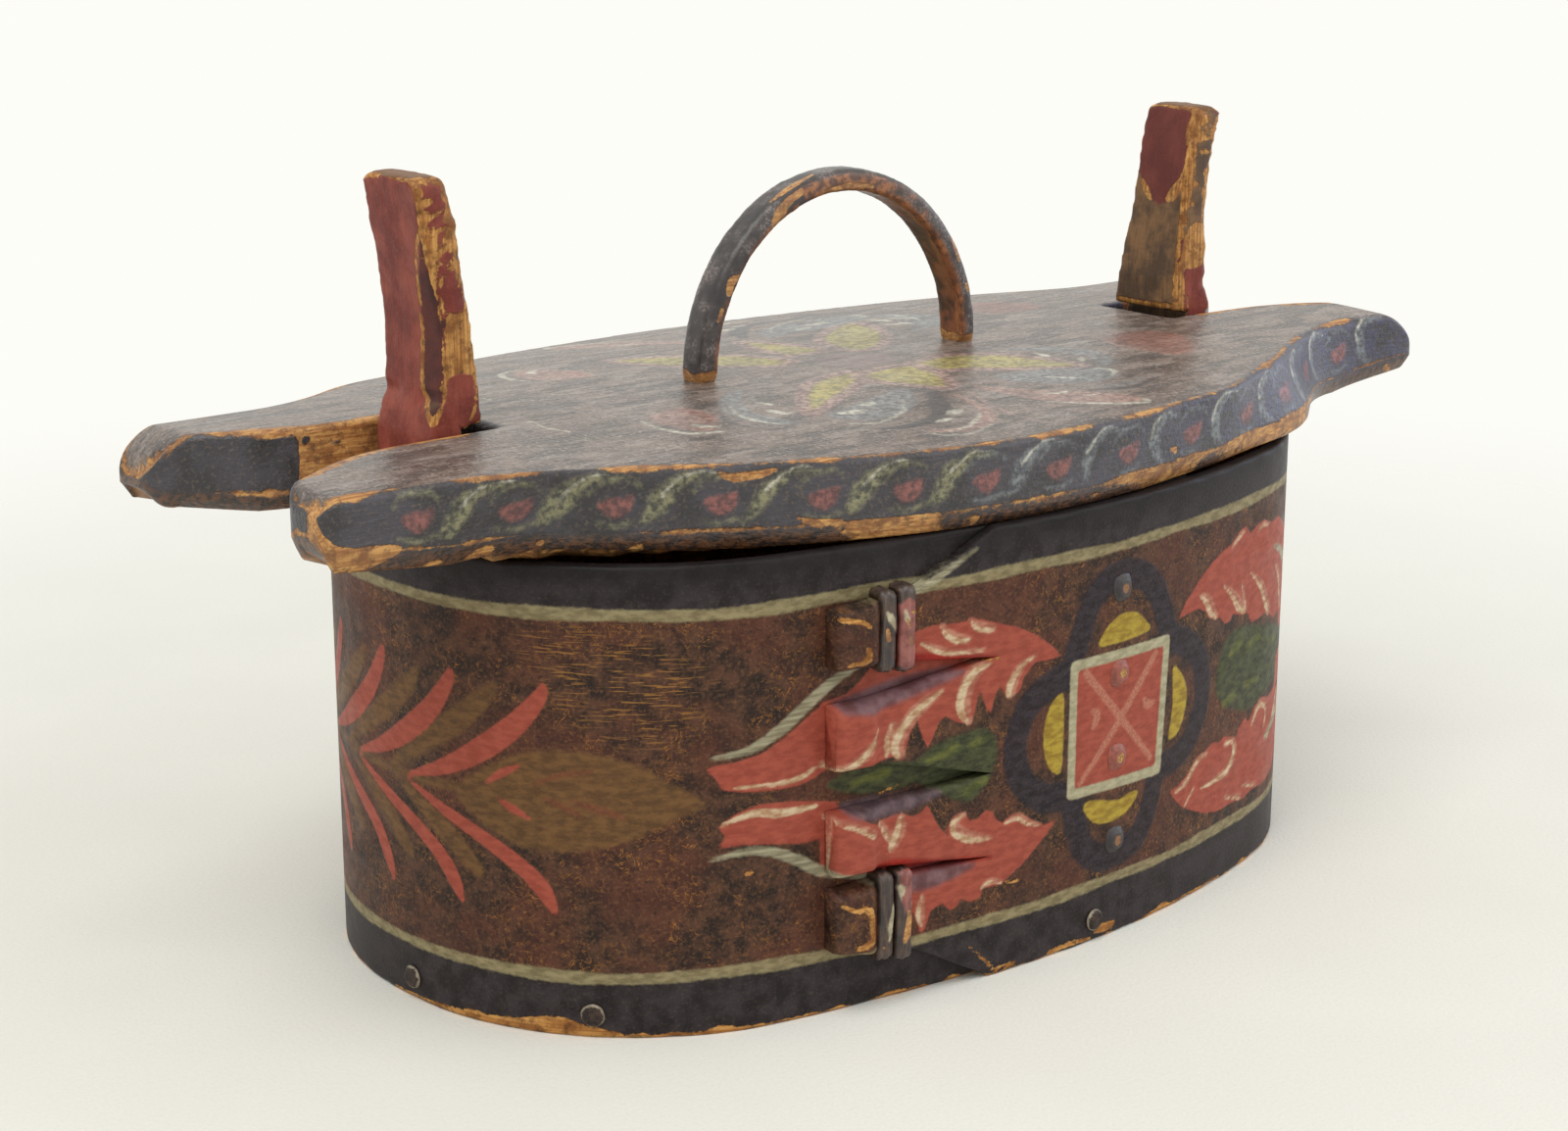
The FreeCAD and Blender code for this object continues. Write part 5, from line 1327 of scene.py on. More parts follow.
# ======== worn copies of the posts and handle
def standing_out(mesh, rounds):
    """How far each point stands out of its smoothed surroundings, in millimetres: high on edges."""
    places = vertex_places(mesh)
    ends = np.zeros(len(mesh.edges) * 2, np.int32)
    mesh.edges.foreach_get("vertices", ends)
    here, there = np.concatenate([ends.reshape(-1, 2), ends.reshape(-1, 2)[:, ::-1]]).T
    count = len(places)
    neighbours = np.bincount(here, minlength=count)[:, None]
    soft = places.copy()
    for _ in range(rounds):
        around = np.stack([np.bincount(here, column, count) for column in soft[there].T], 1)
        soft = 0.4 * soft + 0.6 * around / neighbours
    return ((places - soft) * vertex_normals(mesh)).sum(1)


def make_worn_node(name, voxel, body, recarve):
    """A carved, uneven copy of a CAD node that stands above the lid."""
    mesh = remeshed_copy(name, voxel)
    move_vertices(mesh, recarve(vertex_places(mesh)))
    places = vertex_places(mesh)
    uneven = 0.09 * wobble(places, 12.0, 51, 2) + 0.05 * wobble(places, 2.6, 52, 2) + 0.06
    edges = standing_out(mesh, 10)
    worn_off = np.clip(edges - 0.15, 0, None) * (0.5 + 0.5 * wobble(places, 6.0, 53, 2))
    visible = share_of((places[:, 2] - LID_TOP - 1.0) / 3.0)
    move_vertices(mesh, places + vertex_normals(mesh) * (visible * (uneven - worn_off))[:, None])
    piece = as_piece(name + "_worn", mesh, body, [name])
    add_attribute(mesh, "edges", edges)
    return piece


# the plain post: where its hook and its free part start, its faces' distances out and its crown
POST_HALF_WIDTH, POST_TOP_ROUND = 10.0, 3.0
POST_FOOT, POST_INNER_FOOT, POST_INNER, POST_LEAN = 119.5, 121.8, 103, 7.4
POST_LENGTH = 47.7
POST_ARC = np.polyfit((118.0, 139.0, 169.5), (114.0, 111.0, 115.2), 2)
HOOK_FACE, HOOK_FOOT, HOOK_TOP, HOOK_LOWER = 107.5, 120, 128, 1.6
# how far the carved post stands out of the plain one, by height: on its inner face, and on the outer
# face of the left post and of the right one
SHIFT_HEIGHTS = (120, 122, 128, 139, 150, 160, 170)
INNER_SHIFTS = (0, 1.5, 2.3, 2.7, 3.0, 3.1, 2.3)
OUTER_SHIFTS = ((0, 0, 0, 0.4, 1.4, 1.6, 0.5), (1.2, 1.5, 1.4, 1.2, 1.6, 1.6, 1.4))
# the facet shaved along the outer corner: its width and depth, and the heights between which it is full
SHAVED_WIDTH, SHAVED_DEPTH = 5.6, 1.3
SHAVED_LOW, SHAVED_HIGH = 131, 137
# how much the right post's inner face is narrowed, and the heights of the free post and of its crown
RIGHT_NARROWED = 0.28
CREASE, FREE_HEIGHT, CROWN_HEIGHT, TOP_HEIGHT = 126, 122, 150, 152


def shaved_share(z):
    """How wide the facet along a post's outer corner is at a height, from 0 at its ends to 1."""
    above, below = (z - SHAVED_HIGH) / 24, (SHAVED_LOW - z) / 9
    beyond = np.where(z > SHAVED_HIGH, above, np.where(z < SHAVED_LOW, below, 0))
    return 1 - np.minimum(beyond ** 2, 1)


def recarve_post(places):
    """Move a post's points from the plain solid's form to the carved one."""
    x, y, z = places.T.copy()
    side = np.sign(x[0])
    out, across, seen = x * side, np.abs(y), y * side > 0
    plain = 2.0 * share_of((across - 2.5) / 7.5) * share_of((z - CREASE) / 2)
    share = shaved_share(z)
    facet = share_of((across - POST_HALF_WIDTH + SHAVED_WIDTH * share) / SHAVED_WIDTH)
    shaved = np.where(seen, SHAVED_DEPTH * share * facet, 0)
    inner = POST_INNER + POST_LEAN * share_of((z - POST_INNER_FOOT) / POST_LENGTH)
    outer = np.polyval(POST_ARC, z) - plain
    through = share_of((out - inner) / (outer - inner)) * (z > POST_FOOT)
    out = out + through * (plain - shaved + np.interp(z, SHIFT_HEIGHTS, OUTER_SHIFTS[int(side > 0)]))
    out = out - (1 - through) * np.interp(z, SHIFT_HEIGHTS, INNER_SHIFTS)
    if side > 0:
        y = np.where(y > 0, y * (1 - RIGHT_NARROWED * share_of((z - FREE_HEIGHT) / 25)), y)
    corner = share_of((across - POST_HALF_WIDTH + POST_TOP_ROUND) / POST_TOP_ROUND)
    drop = POST_TOP_ROUND * (1 - np.sqrt(1 - 0.96 * corner ** 2))
    taller = 0.8 * (side < 0) * share_of((z - CROWN_HEIGHT) / 20)
    z = z - drop * share_of((z - TOP_HEIGHT) / 17) ** 2 + taller
    hook = share_of((HOOK_FACE - out) / 1.5)
    hook = hook * share_of((z - HOOK_FOOT) / 1.2) * share_of((HOOK_TOP - z) / 6)
    return np.column_stack([out * side, y, z - HOOK_LOWER * hook])


# a post's faces lie on sheets side by side: the face to the box, the outer face and the two sides;
# its drawings are of (across, up)
OUTER_SHEET, SIDE_SHEET = 100.0, 200.0
INNER_FACE = """
rubbed: -12 112, 12 112, 12 158, 9 153, 7.2 149.4, 4.2 146.4, 1.8 145.4, -.6 146.6, -3.2 150,
  -6.7 153.4, -12 155.5;
chips: 8.7 167 .7, 8.4 164 1.1, 8.6 161 .7 | 9.6 157 .7, 8.6 152.4 1, 6.2 148.8 1.6, 4.6 147.2 .8 |
  -6.8 154.6 .7, -6.6 153.6 .7 | -4.6 151 .5, -2.6 148.6 .9, -1 146.6 .5 | -9 121.4 .5, 0 121 .8,
  9 121.6 .6;
"""
OUTER_FACE = """
chips: 9.8 160.6 .6, 7.8 158.2 .6, 6.3 155 .5, 5.6 151.6 .5 | 5.4 150.6 .5, 4.9 144.8 .55 |
  4.5 142.6 .5, 4.5 140 .6 | 4.4 138.6 .5, 4.4 131 .6, 4.8 128 .6, 6 125.4 .7, 8 123 .9, 9.8 121.8 .9 |
  9.9 169 1, 9.9 165 .6, 9.9 161 .7 | 5.6 154 .25, 10 154.6 .4;
"""
LEFT_POST_SIDE = """
chips: 14.8 168.6 .8, 14.2 165 .5, 13.6 161.4 .6 | 11.8 168 .5, 12.4 165.6 .6, 12 161 .6,
  11.3 157 .8, 10.7 152.6 .7, 10.3 149 .6 | 9.8 147 .5, 9.6 143.6 .5 | 9.3 165 .3, 8 158 .5,
  6.8 152.4 .7, 5.2 147.2 .4 | 10 131 .7, 10.4 127.6 .8, 11.8 124 .8, 13 121.8 .8 | 3 132 .4,
  2.7 127 .45, 3 124 .4, 4.2 121.6 .4;
chips/2: 9.4 142.2, 8 143.6, 5.6 142.6, 4.4 146, 3.4 144, 3 140, 2.4 134, 2.4 131, 5 130.6, 7 131.2,
  9.6 130.4, 9.8 136;
"""
RIGHT_POST_SIDE = """
chips: 11 142 .7, 11.4 149 .9, 12.2 155 .7 | 7 146 .5, 8 153 .6 | 9.2 157 .5, 9.8 163 .6 |
  11.8 158 .4, 12.8 166 .4 | 6.6 125 .3, 6.8 121 .35;
chips/2: 3 131, 12 131, 12 140, 8 141.6, 5 139.4, 4 134 | 2 131, 4.8 131, 5.2 121, 2 119;
rubbed/2: 0 140, 16 140, 16 172, 0 172;
"""


def post_plan(places, normals):
    """Each point's place on the sheet of the face that it lies on."""
    side = np.sign(places[0, 0])
    outward = normals[:, 0] * side
    on_side = np.abs(normals[:, 1]) > 0.75
    across = np.where(outward > 0, OUTER_SHEET + places[:, 1] * side, -places[:, 1])
    beyond = np.abs(places[:, 0]) - 100.0
    return np.column_stack([np.where(on_side, SIDE_SHEET + beyond, across), places[:, 2]])


def paint_post(post):
    mesh = post.data
    places, normals = vertex_places(mesh), vertex_normals(mesh)
    side = np.sign(places[0, 0])
    paint = Paint(post_plan(places, normals)).draw(INNER_FACE)
    paint.layout(OUTER_SHEET).draw(OUTER_FACE)
    paint.layout(SIDE_SHEET).draw(LEFT_POST_SIDE if side < 0 else RIGHT_POST_SIDE)
    paint.store(mesh, ("rubbed", "chips"))
    share = shaved_share(places[:, 2])
    facet = np.abs(places[:, 1]) - POST_HALF_WIDTH + SHAVED_WIDTH * share
    hidden = 9 * (places[:, 1] * side <= 0) + 9 * (normals[:, 0] * side < 0.4)
    facet = np.minimum(facet, 3 * (share - 0.05)) - hidden
    add_attribute(mesh, "bevel", np.clip(facet, -5, 5))
    add_attribute(mesh, "unpainted", np.maximum((104 - places[:, 2]) / 4, -5))
    # painted shade: the right post's face towards the box is marked to be darkened
    add_attribute(mesh, "shaded", (side > 0) * share_of(-3 * normals[:, 0]))
    add_attribute(mesh, "crest", normals[:, 2] * 4 - 2.4)


# the handle's arch: its outer half span and rise, how thick it is, and how much it is widened; its
# drawings are of (angle over the arch times 0.7, place around the section)
HANDLE_OUT, HANDLE_THICKNESS, HANDLE_WIDENED = (40.9, 42.8), 4.8, 1.14
HANDLE_TURN = 0.7
HANDLE_CHIPS = """
118 -2.2 .4, 111 -2.3 1, 104 -1.9 .8, 100 -1.5 .3 | 122 -7.4 .8, 118 -6.4 1.4, 113 -5.6 1, 108 -5.3 .9 |
  150 -7.2 .9, 147 -6.6 1.1, 144 -7.6 .6 | 101 -7.6 .3, 92 -7.4 .5, 78 -7.2 .4 |
  38 -4.8 .4, 33 -5 .8, 29 -5.4 .6 | 20 -5.6 .6, 18 -5.6 .5 | 160 -6.5 .3, 156 -6.9 .6 |
  66 4 .8, 74 4.8 1.1 | 130 5 .6, 138 5.6 1
"""


def recarve_handle(places):
    """Let the arch stand a little wider than its tenons."""
    above = share_of((places[:, 2] - LID_TOP) / 2)
    widened = places.copy()
    widened[:, 1] *= 1 + (HANDLE_WIDENED - 1) * above
    return widened


def handle_plan(places):
    """Each point of the handle by its angle over the arch and its place around the section.

    The place around is 0 along the middle of the outer face and below 0 towards the front.
    """
    x, y, z = places.T
    rise = z - LID_TOP
    angle = np.degrees(np.arctan2(rise, x))
    outer = np.hypot(x, rise * HANDLE_OUT[0] / HANDLE_OUT[1])
    depth = np.clip(HANDLE_OUT[0] - outer, 0, HANDLE_THICKNESS)
    inside = (depth > HANDLE_THICKNESS - 0.6) & (np.abs(y) < 3.0)
    around = np.where(inside, np.sign(y) * (11.8 - np.abs(y)), np.sign(y) * (np.abs(y) + depth))
    return np.column_stack([angle * HANDLE_TURN, around])


def paint_handle(handle):
    mesh = handle.data
    places = vertex_places(mesh)
    plan = handle_plan(places)
    paint = Paint(plan)
    for path in paths_of(HANDLE_CHIPS):
        paint.stroke("chips", [(angle * HANDLE_TURN, around, half) for angle, around, half in path])
    paint.lift("chips", 2.2 + 0.7 * wobble(places, 5.0, 61) - (places[:, 2] - LID_TOP))
    paint.store(mesh, ("chips",))
    arch, around = plan.T
    angle = arch / HANDLE_TURN + 6 * wobble(places, 9.0, 62, 3)
    ridge = 0.9 + 0.7 * wobble(places, 5.0, 63, 2) - np.abs(around + 8.8)
    ridge = ridge - np.clip((angle - 140) / 8, 0, 9)
    grip = [(104 - angle) / 8, (angle - 58) / 8, around + 10.5, (-4.6 - around) / 1.2]
    add_attribute(mesh, "rubbed", np.maximum(ridge, np.minimum.reduce(grip)))
    add_attribute(mesh, "inner", np.abs(around) - 7.6)


# ======== roots, pegs and nails
def revolved(origin, outward, rings, sides, seed, roughness):
    """Points and faces of a stub around a level axis: rings of (distance out, radius, squareness)."""
    random = np.random.default_rng(seed)
    across = np.array([-outward[1], outward[0], 0.0])
    angles = np.arange(sides) * 2 * math.pi / sides
    bumps = 1 + roughness * random.normal(size=sides)
    bumps = (bumps + np.roll(bumps, 1) + np.roll(bumps, -1)) / 3
    vertices = []
    for out, radius, square in rings:
        blunt = np.maximum(np.abs(np.cos(angles)), np.abs(np.sin(angles))) ** -square
        reach = radius * bumps * blunt
        centre = origin + np.array([*outward, 0.0]) * out
        vertices.append(centre + reach[:, None] * (np.cos(angles)[:, None] * across
                                                   + np.sin(angles)[:, None] * (0, 0, 1)))
    faces = grid_faces(len(rings), sides, 0, close_columns=True)
    last = (len(rings) - 1) * sides
    caps = [list(range(sides))[::-1], list(range(last, last + sides))]
    return np.concatenate(vertices), faces + caps


def seat_of(name):
    """The band's outer face at a nail or peg: the point there and the direction outwards."""
    low, high = node_box(name)
    middle = (low + high) / 2
    points, directions, places = strip_columns()
    outer = (places >= 0) & (places < 4 * FULL_QUARTER - 20)
    points, directions = points[outer], directions[outer]
    best = np.argmin(np.hypot(*(points - middle[:2]).T))
    return np.array([*points[best], middle[2]]), directions[best]


def make_stub(name, rings_of, sides, roughness, seed):
    """A peg or nail turned from rings between the ends of its CAD node."""
    origin, outward = seat_of(name)
    reach = (vertex_places(NODES[name].data)[:, :2] - origin[:2]) @ outward
    rings = rings_of(reach.min(), reach.max())
    vertices, faces = revolved(origin, outward, rings, sides, seed, roughness)
    out = (vertices[:, :2] - origin[:2]) @ outward
    from_axis = np.linalg.norm(vertices - origin - out[:, None] * np.array([*outward, 0.0]), axis=1)
    piece = new_piece(name + "_worn", vertices, faces, "box", [name],
                      {"from_axis": from_axis, "out": out})
    weld(piece.data)
    return piece


def peg_rings(low, high):
    shape = [(low, 1.5), (low + 0.5, 1.95), (-0.4, 2.0), (-0.05, 3.1), (high * 0.14, 2.9),
             (high * 0.34, 2.4), (high * 0.7, 2.15), (high * 0.93, 1.75), (high, 1.2),
             (high * 0.94, 0.8), (high * 0.9, 0.3)]
    return [(out, radius, 0.35) for out, radius in shape]


def nail_rings(low, high):
    shank = [(low, 0.25, 0.9), (low + 1.5, 0.7, 0.9), (-0.2, 1.0, 0.9), (0.1, 1.05, 0.6)]
    head = [(0.12, 2.2), (0.3, 2.48), (0.55, 2.42), (high * 0.85, 2.1), (high * 0.98, 1.7),
            (high * 0.93, 1.3), (high * 0.97, 0.7), (high, 0.2)]
    return shank + [(out, radius, 0.0) for out, radius in head]


def root_path(low, high):
    """One turn of a root round a tongue and the layer under it: heights and distances out."""
    back = -(2 * WALL + LAP_GAP) - ROOT_SLACK
    start = (low + high) / 2, ROOT_SLACK
    corners = [start, (high + ROOT_PLAY, ROOT_SLACK), (high + ROOT_PLAY, back),
               (low - ROOT_PLAY, back), (low - ROOT_PLAY, ROOT_SLACK), start]
    return rounded_path(corners, [0.3] * 4, 0.7)[:-1]


def make_lashing(name, tongue):
    """Two turns of a flat root, bulging and creased, round one of the outer tongues."""
    across = np.linspace(-1, 1, 13)
    dome = np.sqrt(1 - across[1:-1] ** 2) ** 0.55
    section = [(share, 0.0) for share in across] + list(zip(across[-2:0:-1], dome[::-1]))
    vertices, faces, strip, outs = [], [], [], []
    first = 0
    for turn in range(2):
        middle = -ROOT_FIRST + turn * ROOT_PITCH
        (low,), (high,) = edge_heights(tongue, np.array([middle]))
        path = root_path(low, high)
        normals = -closed_normals(path)
        lengths = walked(path)
        sway = 0.25 * wobble(lengths[:, None], 11.0, 73 + turn)
        for share, height in section:
            ripple = wobble(np.column_stack([lengths, 0 * lengths + share * 3]), 5.0, 71 + turn)
            crease = 0.16 * math.sin(share * 7.5 + turn * 2) + 0.12 * ripple
            thick = height * (ROOT_THICKNESS + 0.35 + crease)
            up, out = (path + normals * thick[:, None]).T
            place = middle + share * ROOT_WIDTH / 2 + sway
            points, directions = on_oval(LAPPED, -place, -1, -1)
            flat = points + directions * (WALL + LAP_GAP + out)[:, None]
            vertices.append(np.column_stack([flat, up]))
            strip.append(place)
            outs.append(out)
        faces += grid_faces(len(section), len(path), first, close_columns=True, close_rows=True)
        first += len(section) * len(path)
    piece = new_piece(name + "_worn", np.concatenate(vertices), faces, "box", [name],
                      {"strip": np.concatenate(strip), "out": np.concatenate(outs)})
    weld(piece.data, 0.0005)
    return piece


# drawings of (along the strip, up) on the two lashings
UPPER_ROOTS = """
red/2: -45.6 86, -41 86, -40.6 74, -45.6 73.6;
cream: -40.9 87 .2, -40.6 82 .25, -40.5 78.6 .2 | -41.4 76 .5, -40.8 77.6 .9 | -48.5 85 .3,
  -47.5 83.6 .8, -46.6 81.5 .3 | -44.2 85 .2, -43.8 83 .6;
chips: -43 79.4 .4, -42.8 78 .6 | -44.7 78.4 .3 | -42.2 84.3 .5 | -48.4 81.5 .5, -48.2 79.5 .6 |
  -43.9 83.4 .2, -43.5 81.6 .3;
"""
LOWER_ROOTS = """
red/2: -44.6 29, -40 29, -40.4 20, -42 19, -44 21.6;
cream/2: -45.2 26.6, -43.4 26, -44.4 23.4 | -40.6 25, -41.9 22.6, -41.2 20, -40.4 21;
cream: -46 22.6 .3, -46.8 19 .75, -47.2 15 .4;
chips/2: -42.6 21.2, -41.2 18, -42.4 14.4, -44.2 13.8, -43.4 18;
chips: -48.6 13.6 .4;
"""
FAR_AWAY = 500.0


def paint_lashing(lashing, drawing):
    mesh = lashing.data
    strip, out = read_attribute(mesh, "strip"), read_attribute(mesh, "out")
    outside = np.where(out > 0, strip, FAR_AWAY)
    paint = Paint(np.column_stack([outside, vertex_places(mesh)[:, 2]]))
    paint.draw(drawing).store(mesh, ("red", "cream", "chips"))


def make_small_pieces():
    """The lashings, pegs and nails, each with its finished material."""
    root = root_material()
    for name, tongue, drawing in (("lashing_top", 3, UPPER_ROOTS), ("lashing_bottom", 0, LOWER_ROOTS)):
        lashing = make_lashing(name, tongue)
        paint_lashing(lashing, drawing)
        cover(lashing, root)
    dark = peg_material("dark", (54, 47, 48), (150, 98, 52))
    bright = peg_material("red", (160, 84, 68), (214, 160, 70))
    for number, material in enumerate((dark, bright, bright, dark), 1):
        cover(make_stub(f"lap_peg_{number}", peg_rings, 14, 0.07, number), material)
    iron = iron_material()
    for number in range(1, 9):
        cover(make_stub(f"base_nail_{number}", nail_rings, 28, 0.03, 20 + number), iron)


# ======== materials of the smaller pieces
def painted_post():
    graph = Graph("post_paint")
    place = graph.place()
    along = graph.turned(place, turn=(0, 90, 0))
    frays = graph.noise(place, 1.2, 4, 0.65)
    streaks = graph.noise(graph.turned(along, (0.12, 1.4, 1.4)), 1.0, 3)
    wide = graph.noise(place, 8.0, 4, 0.6)
    fine = graph.noise(place, 0.7, 3)
    colour = graph.tones(wide, 0.36, 0.66, (120, 54, 46), (156, 80, 67))
    colour = graph.washed(colour, (streaks, 0.45, 0.7, 0.4, (104, 56, 50)),
                          (fine, 0.55, 0.7, 0.3, (150, 96, 82)))
    # painted shade darkens the right post's face towards the box
    colour = graph.mix(graph.scaled(graph.attribute("shaded"), 0.65), colour, (92, 46, 44))
    dull = graph.tones(wide, 0.38, 0.64, (90, 70, 54), (138, 104, 72))
    dull = graph.washed(dull, (streaks, 0.45, 0.7, 0.45, (62, 48, 44)))
    colour = graph.mix(graph.inside("rubbed", 0.6, 0.5, frays), colour, dull)
    bevel = graph.tones(wide, 0.4, 0.62, (62, 42, 42), (88, 48, 44))
    colour = graph.mix(graph.scaled(graph.inside("bevel", 0.3, 0.3, frays), 0.85), colour, bevel)
    crest = graph.scaled(graph.inside("crest", 0.6, 0.8, frays), 0.8)
    colour = graph.mix(crest, colour, (112, 86, 56))
    wood = bare_wood(graph, along)
    edges = graph.step(graph.frayed_edges(wide, frays, 2.6, 2.2), 0.92, 1.08)
    worn = graph.most(edges, graph.inside("chips", 0.6, 0.15, frays))
    colour = graph.mix(worn, colour, wood)
    colour = graph.mix(graph.inside("unpainted", 0.6, 0.5, frays), colour, wood)
    height = graph.total(graph.scaled(fine, 0.5), (worn, -1), (streaks, 0.5))
    return graph.finish(colour, 0.5, height, 0.18, 0.03, 0.2)


def painted_handle():
    graph = Graph("handle_wood")
    place = graph.place()
    frays = graph.noise(place, 1.2, 4, 0.65)
    wide = graph.noise(place, 7.0, 4, 0.6)
    fine = graph.noise(place, 0.6, 3)
    streaks = graph.noise(graph.turned(place, (0.5, 2.2, 0.5)), 1.0, 3)
    colour = graph.tones(wide, 0.36, 0.66, (40, 34, 35), (80, 70, 68))
    glints = graph.scaled(graph.step(fine, 0.46, 0.62), graph.step(wide, 0.46, 0.6))
    colour = graph.mix(graph.scaled(glints, 0.6), colour, (150, 140, 136))
    red = graph.tones(wide, 0.4, 0.62, (70, 38, 26), (146, 86, 50))
    colour = graph.mix(graph.inside("inner", 0.8, 0.9, frays), colour, red)
    rubbed = graph.scaled(graph.step(graph.frayed_edges(wide, frays, 2.0, 2.4), 0.75, 1.4), 0.8)
    colour = graph.mix(rubbed, colour, (150, 92, 50))
    handled = graph.scaled(graph.inside("rubbed", 0.8, 0.5, frays), 0.85)
    colour = graph.mix(handled, colour, graph.tones(streaks, 0.36, 0.64, (88, 52, 32), (176, 112, 66)))
    chipped = graph.inside("chips", 0.5, 0.15, frays)
    colour = graph.mix(chipped, colour, bare_wood(graph, place))
    height = graph.total(graph.scaled(fine, 0.6), (streaks, 0.5), (graph.most(rubbed, chipped), -1))
    return graph.finish(colour, 0.42, height, 0.12, 0.3)


def root_material():
    graph = Graph("root")
    place = graph.place()
    frays = graph.noise(place, 1.0, 4, 0.65)
    fibres = graph.noise(graph.turned(place, (2.6, 1.0, 0.2)), 1.0, 3)
    wide = graph.noise(place, 3.0, 4, 0.6)
    fine = graph.noise(place, 0.5, 3)
    colour = graph.tones(wide, 0.36, 0.66, (50, 42, 42), (78, 62, 54))
    colour = graph.washed(colour, (fibres, 0.5, 0.7, 0.5, (122, 92, 66)))
    layers = (("red", 0.5, 0.3, (120, 60, 54), (168, 100, 92), wide, 0.85),
              ("cream", 0.5, 0.3, (166, 154, 124), (214, 204, 172), wide, 0.85))
    colour, _ = graph.painted(colour, layers, frays)
    worn = graph.inside("chips", 0.35, 0.12, frays)
    colour = graph.mix(worn, colour, bare_wood(graph, place))
    height = graph.total(graph.scaled(fibres, 1.0), (fine, 0.5), (worn, -1))
    return graph.finish(colour, 0.42, height, 0.14, 0.15)


def peg_material(name, rim, tip):
    """Paint round a peg's rim, and wood of the given colour on its worn tip and inside the box."""
    graph = Graph("peg_" + name)
    place = graph.place()
    frays = graph.noise(place, 0.9, 3, 0.6)
    fine = graph.noise(place, 0.4, 3)
    paint = graph.tones(frays, 0.35, 0.65, tuple(0.8 * part for part in rim), rim)
    heart = graph.math("ADD", graph.attribute("from_axis"), graph.scaled(frays, 1.6))
    worn = graph.math("SUBTRACT", 1.0, graph.step(heart, 1.6, 2.0))
    inside = graph.math("SUBTRACT", 1.0, graph.step(graph.attribute("out"), -WALL, -WALL + 1))
    wood = graph.tones(fine, 0.35, 0.65, (120, 80, 46), tip)
    return graph.finish(graph.mix(graph.most(worn, inside), paint, wood), 0.45, fine, 0.12, 0.12)


def iron_material():
    graph = Graph("iron")
    place = graph.place()
    cloud = graph.noise(place, 1.6, 4, 0.65)
    fine = graph.noise(place, 0.4, 3)
    colour = graph.tones(cloud, 0.36, 0.64, (38, 32, 31), (70, 56, 50))
    colour = graph.washed(colour, (fine, 0.5, 0.7, 0.5, (92, 62, 46)))
    from_rim = graph.math("SUBTRACT", graph.attribute("from_axis"), 0.6)
    rim = graph.math("MULTIPLY_ADD", cloud, 1.2, from_rim)
    rubbed = graph.scaled(graph.step(rim, 2.05, 2.35), 0.8)
    colour = graph.mix(rubbed, colour, (168, 156, 138))
    graph.feed(graph.shader.inputs["Metallic"], graph.scaled(rubbed, 0.6))
    height = graph.math("ADD", graph.scaled(fine, 0.6), cloud)
    return graph.finish(colour, 0.5, height, 0.1, 0.0, 0.25)


def plain_wood():
    """Unpainted old wood of the base board and the wedges."""
    graph = Graph("bare_wood")
    place = graph.place()
    fibres = graph.noise(graph.turned(place, (0.12, 1.3, 1.3)), 1.0, 4)
    pores = graph.noise(graph.turned(place, (0.2, 3, 3)), 1.0, 2)
    stains = graph.noise(place, 22.0, 4, 0.6)
    colour = graph.tones(stains, 0.4, 0.7, bare_wood(graph, place), (128, 92, 58))
    colour = graph.washed(colour, (pores, 0.58, 0.7, 0.5, (88, 60, 38)))
    return graph.finish(colour, 0.62, fibres, 0.2)


# ======== stage
CAMERA_AT = (-412.02, -474.79, 239.09)
CAMERA_LOOKS = (0.62037, 0.74075, -0.25775)
CAMERA_LENS = 65.1
FLOOR_HALF = 1.5
FLOOR_FADE = (190.0, 600.0)
BACKDROP = (0.985, 0.98, 0.93, 1)
AMBIENT = 0.62
# name, place, target, size, power and colour, in metres and watts
LIGHTS = (("key", (-0.6, -0.35, 1.4), (0, 0, 0.05), (0.9, 0.9), 9.5, (1, 1, 0.98)),
          ("fill", (0.9, -1.0, 0.9), (0, 0, 0.05), (1.2, 1.2), 4.5, (1, 1, 1)),
          ("sky", (1.5, -0.3, 0.35), (0.1, 0, 0.1), (0.7, 0.5), 2.2, (0.6, 0.7, 1.0)))


def floor_paper():
    """Pale warm paper that fades into the white backdrop away from the box."""
    graph = Graph("floor_paper")
    place = graph.place()
    tooth = graph.noise(place, 0.9, 2)
    colour = graph.tones(graph.noise(place, 120.0, 3), 0.3, 0.7, (240, 239, 232), (245, 244, 237))
    colour = graph.washed(colour, (tooth, 0.4, 0.7, 0.3, (233, 231, 222)))
    graph.finish(colour, 0.9, tooth, 0.12)
    away = graph.node("VectorMath", {0: place}, operation="LENGTH").outputs["Value"]
    clear = graph.node("BsdfTransparent", {}).outputs[0]
    blend = graph.node("MixShader", {0: graph.step(away, *FLOOR_FADE), 2: clear,
                                     1: graph.shader.outputs[0]})
    graph.feed(graph.nodes["Material Output"].inputs["Surface"], blend.outputs[0])
    return graph.material


def placed(name, data, place, looks):
    """A new object of the scene that looks along a direction from a place in metres."""
    thing = bpy.data.objects.new(name, data)
    thing.location = place
    thing.rotation_euler = Vector(looks).to_track_quat("-Z", "Y").to_euler()
    bpy.context.scene.collection.objects.link(thing)
    return thing


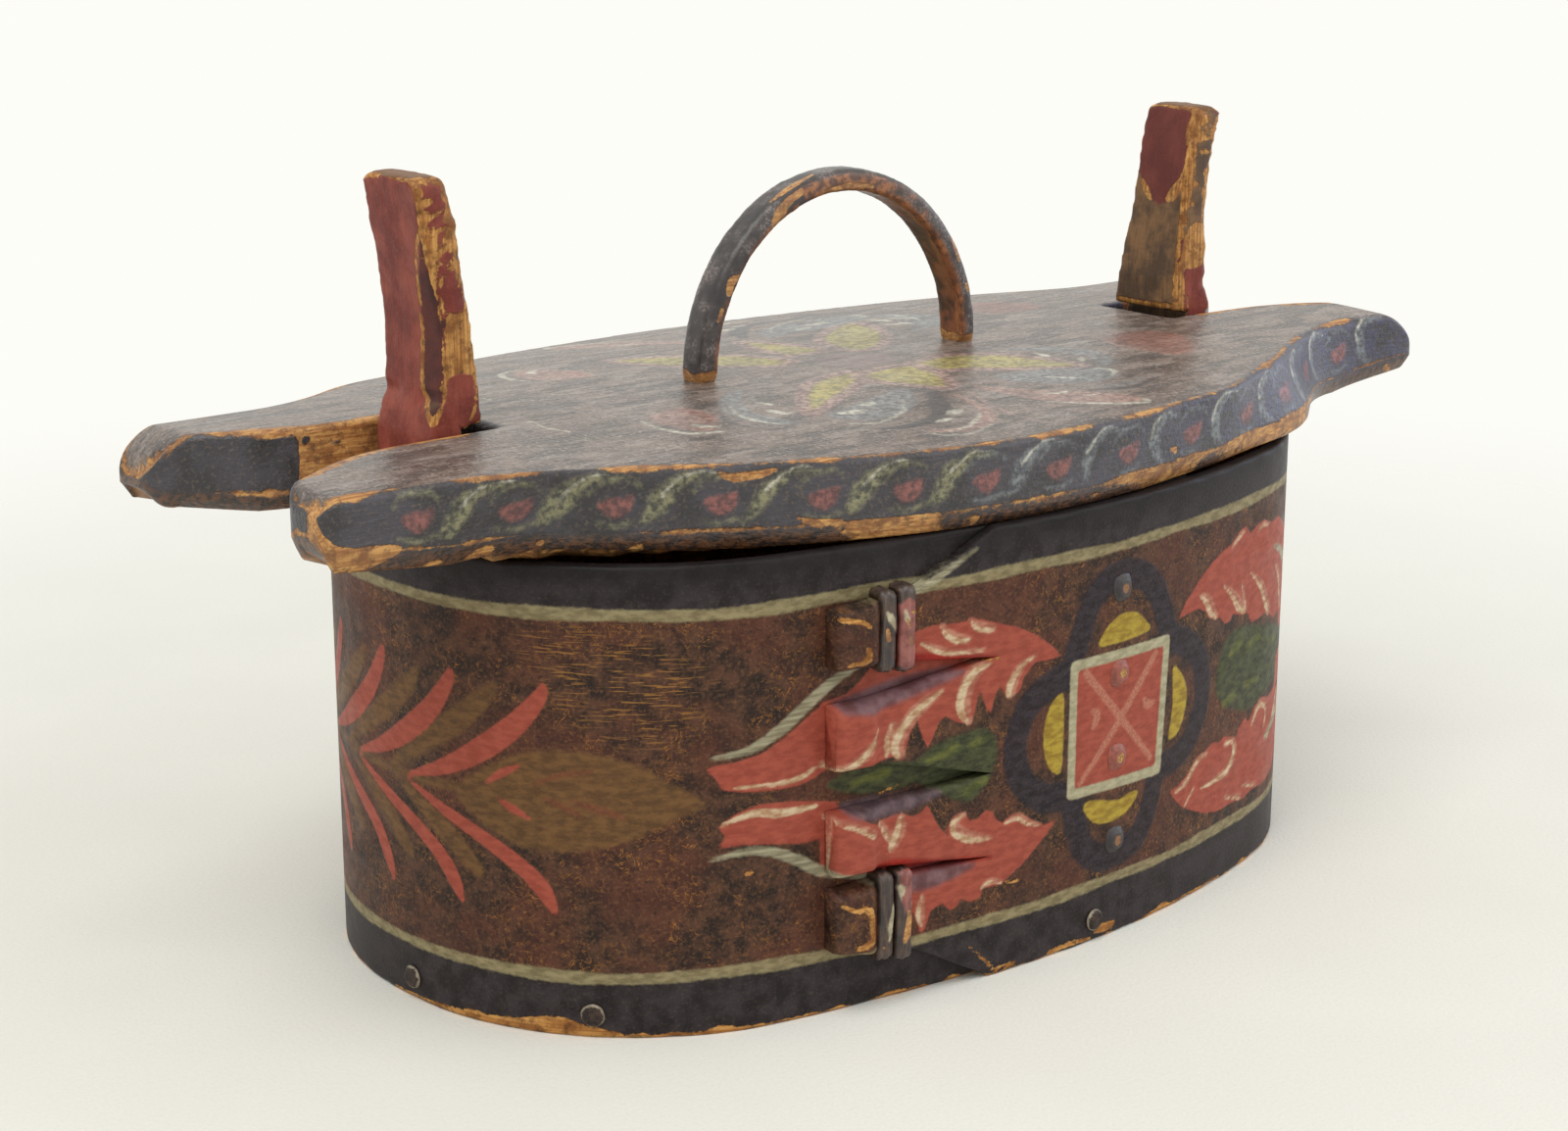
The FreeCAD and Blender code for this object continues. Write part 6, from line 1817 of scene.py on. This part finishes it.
def make_stage():
    lens = bpy.data.cameras.new("camera")
    lens.lens = CAMERA_LENS
    lens.clip_start = 0.01
    bpy.context.scene.camera = placed("camera", lens, Vector(CAMERA_AT) * MM, CAMERA_LOOKS)
    mesh = bpy.data.meshes.new("floor")
    corners = [(x * FLOOR_HALF, y * FLOOR_HALF, 0) for x, y in ((-1, -1), (1, -1), (1, 1), (-1, 1))]
    mesh.from_pydata(corners, [], [(0, 1, 2, 3)])
    floor = bpy.data.objects.new("floor", mesh)
    bpy.context.scene.collection.objects.link(floor)
    cover(floor, floor_paper())


def light_stage():
    """A white studio: the camera and glossy surfaces see it white, the rest gets a softer light."""
    world = bpy.data.worlds.new("studio")
    world.use_nodes = True
    bpy.context.scene.world = world
    nodes, links = world.node_tree.nodes, world.node_tree.links
    background = nodes["Background"]
    background.inputs["Color"].default_value = BACKDROP
    path = nodes.new("ShaderNodeLightPath")
    seen = path.outputs["Is Camera Ray"]
    for other in ("Is Glossy Ray", "Is Transmission Ray"):
        either = nodes.new("ShaderNodeMath")
        either.operation = "MAXIMUM"
        links.new(seen, either.inputs[0])
        links.new(path.outputs[other], either.inputs[1])
        seen = either.outputs[0]
    strength = nodes.new("ShaderNodeMapRange")
    links.new(seen, strength.inputs["Value"])
    strength.inputs["To Min"].default_value = AMBIENT
    strength.inputs["To Max"].default_value = 1.0
    links.new(strength.outputs[0], background.inputs["Strength"])
    for name, place, target, size, power, colour in LIGHTS:
        lamp = bpy.data.lights.new(name, "AREA")
        lamp.shape = "RECTANGLE"
        lamp.size, lamp.size_y = size
        lamp.energy = power
        lamp.color = colour
        placed(name, lamp, place, Vector(target) - Vector(place))
    bpy.context.scene.view_settings.view_transform = "Standard"


def cover(piece, material):
    piece.data.materials.clear()
    piece.data.materials.append(material)


# ======== the whole box
band, lid = make_band(), make_lid()
paint_band(band)
paint_lid(lid)
cover(band, painted_band())
cover(lid, painted_lid())
post_look = painted_post()
for node_name, body_name in (("post_left", "left_post"), ("post_right", "right_post")):
    post = make_worn_node(node_name, 0.65, body_name, recarve_post)
    paint_post(post)
    cover(post, post_look)
handle = make_worn_node("handle", 0.55, "lid_unit", recarve_handle)
paint_handle(handle)
cover(handle, painted_handle())
make_small_pieces()
wood_look = plain_wood()
for node_name in ("base_board", "handle_wedge_left", "handle_wedge_right"):
    cover(NODES[node_name], wood_look)
make_stage()
light_stage()
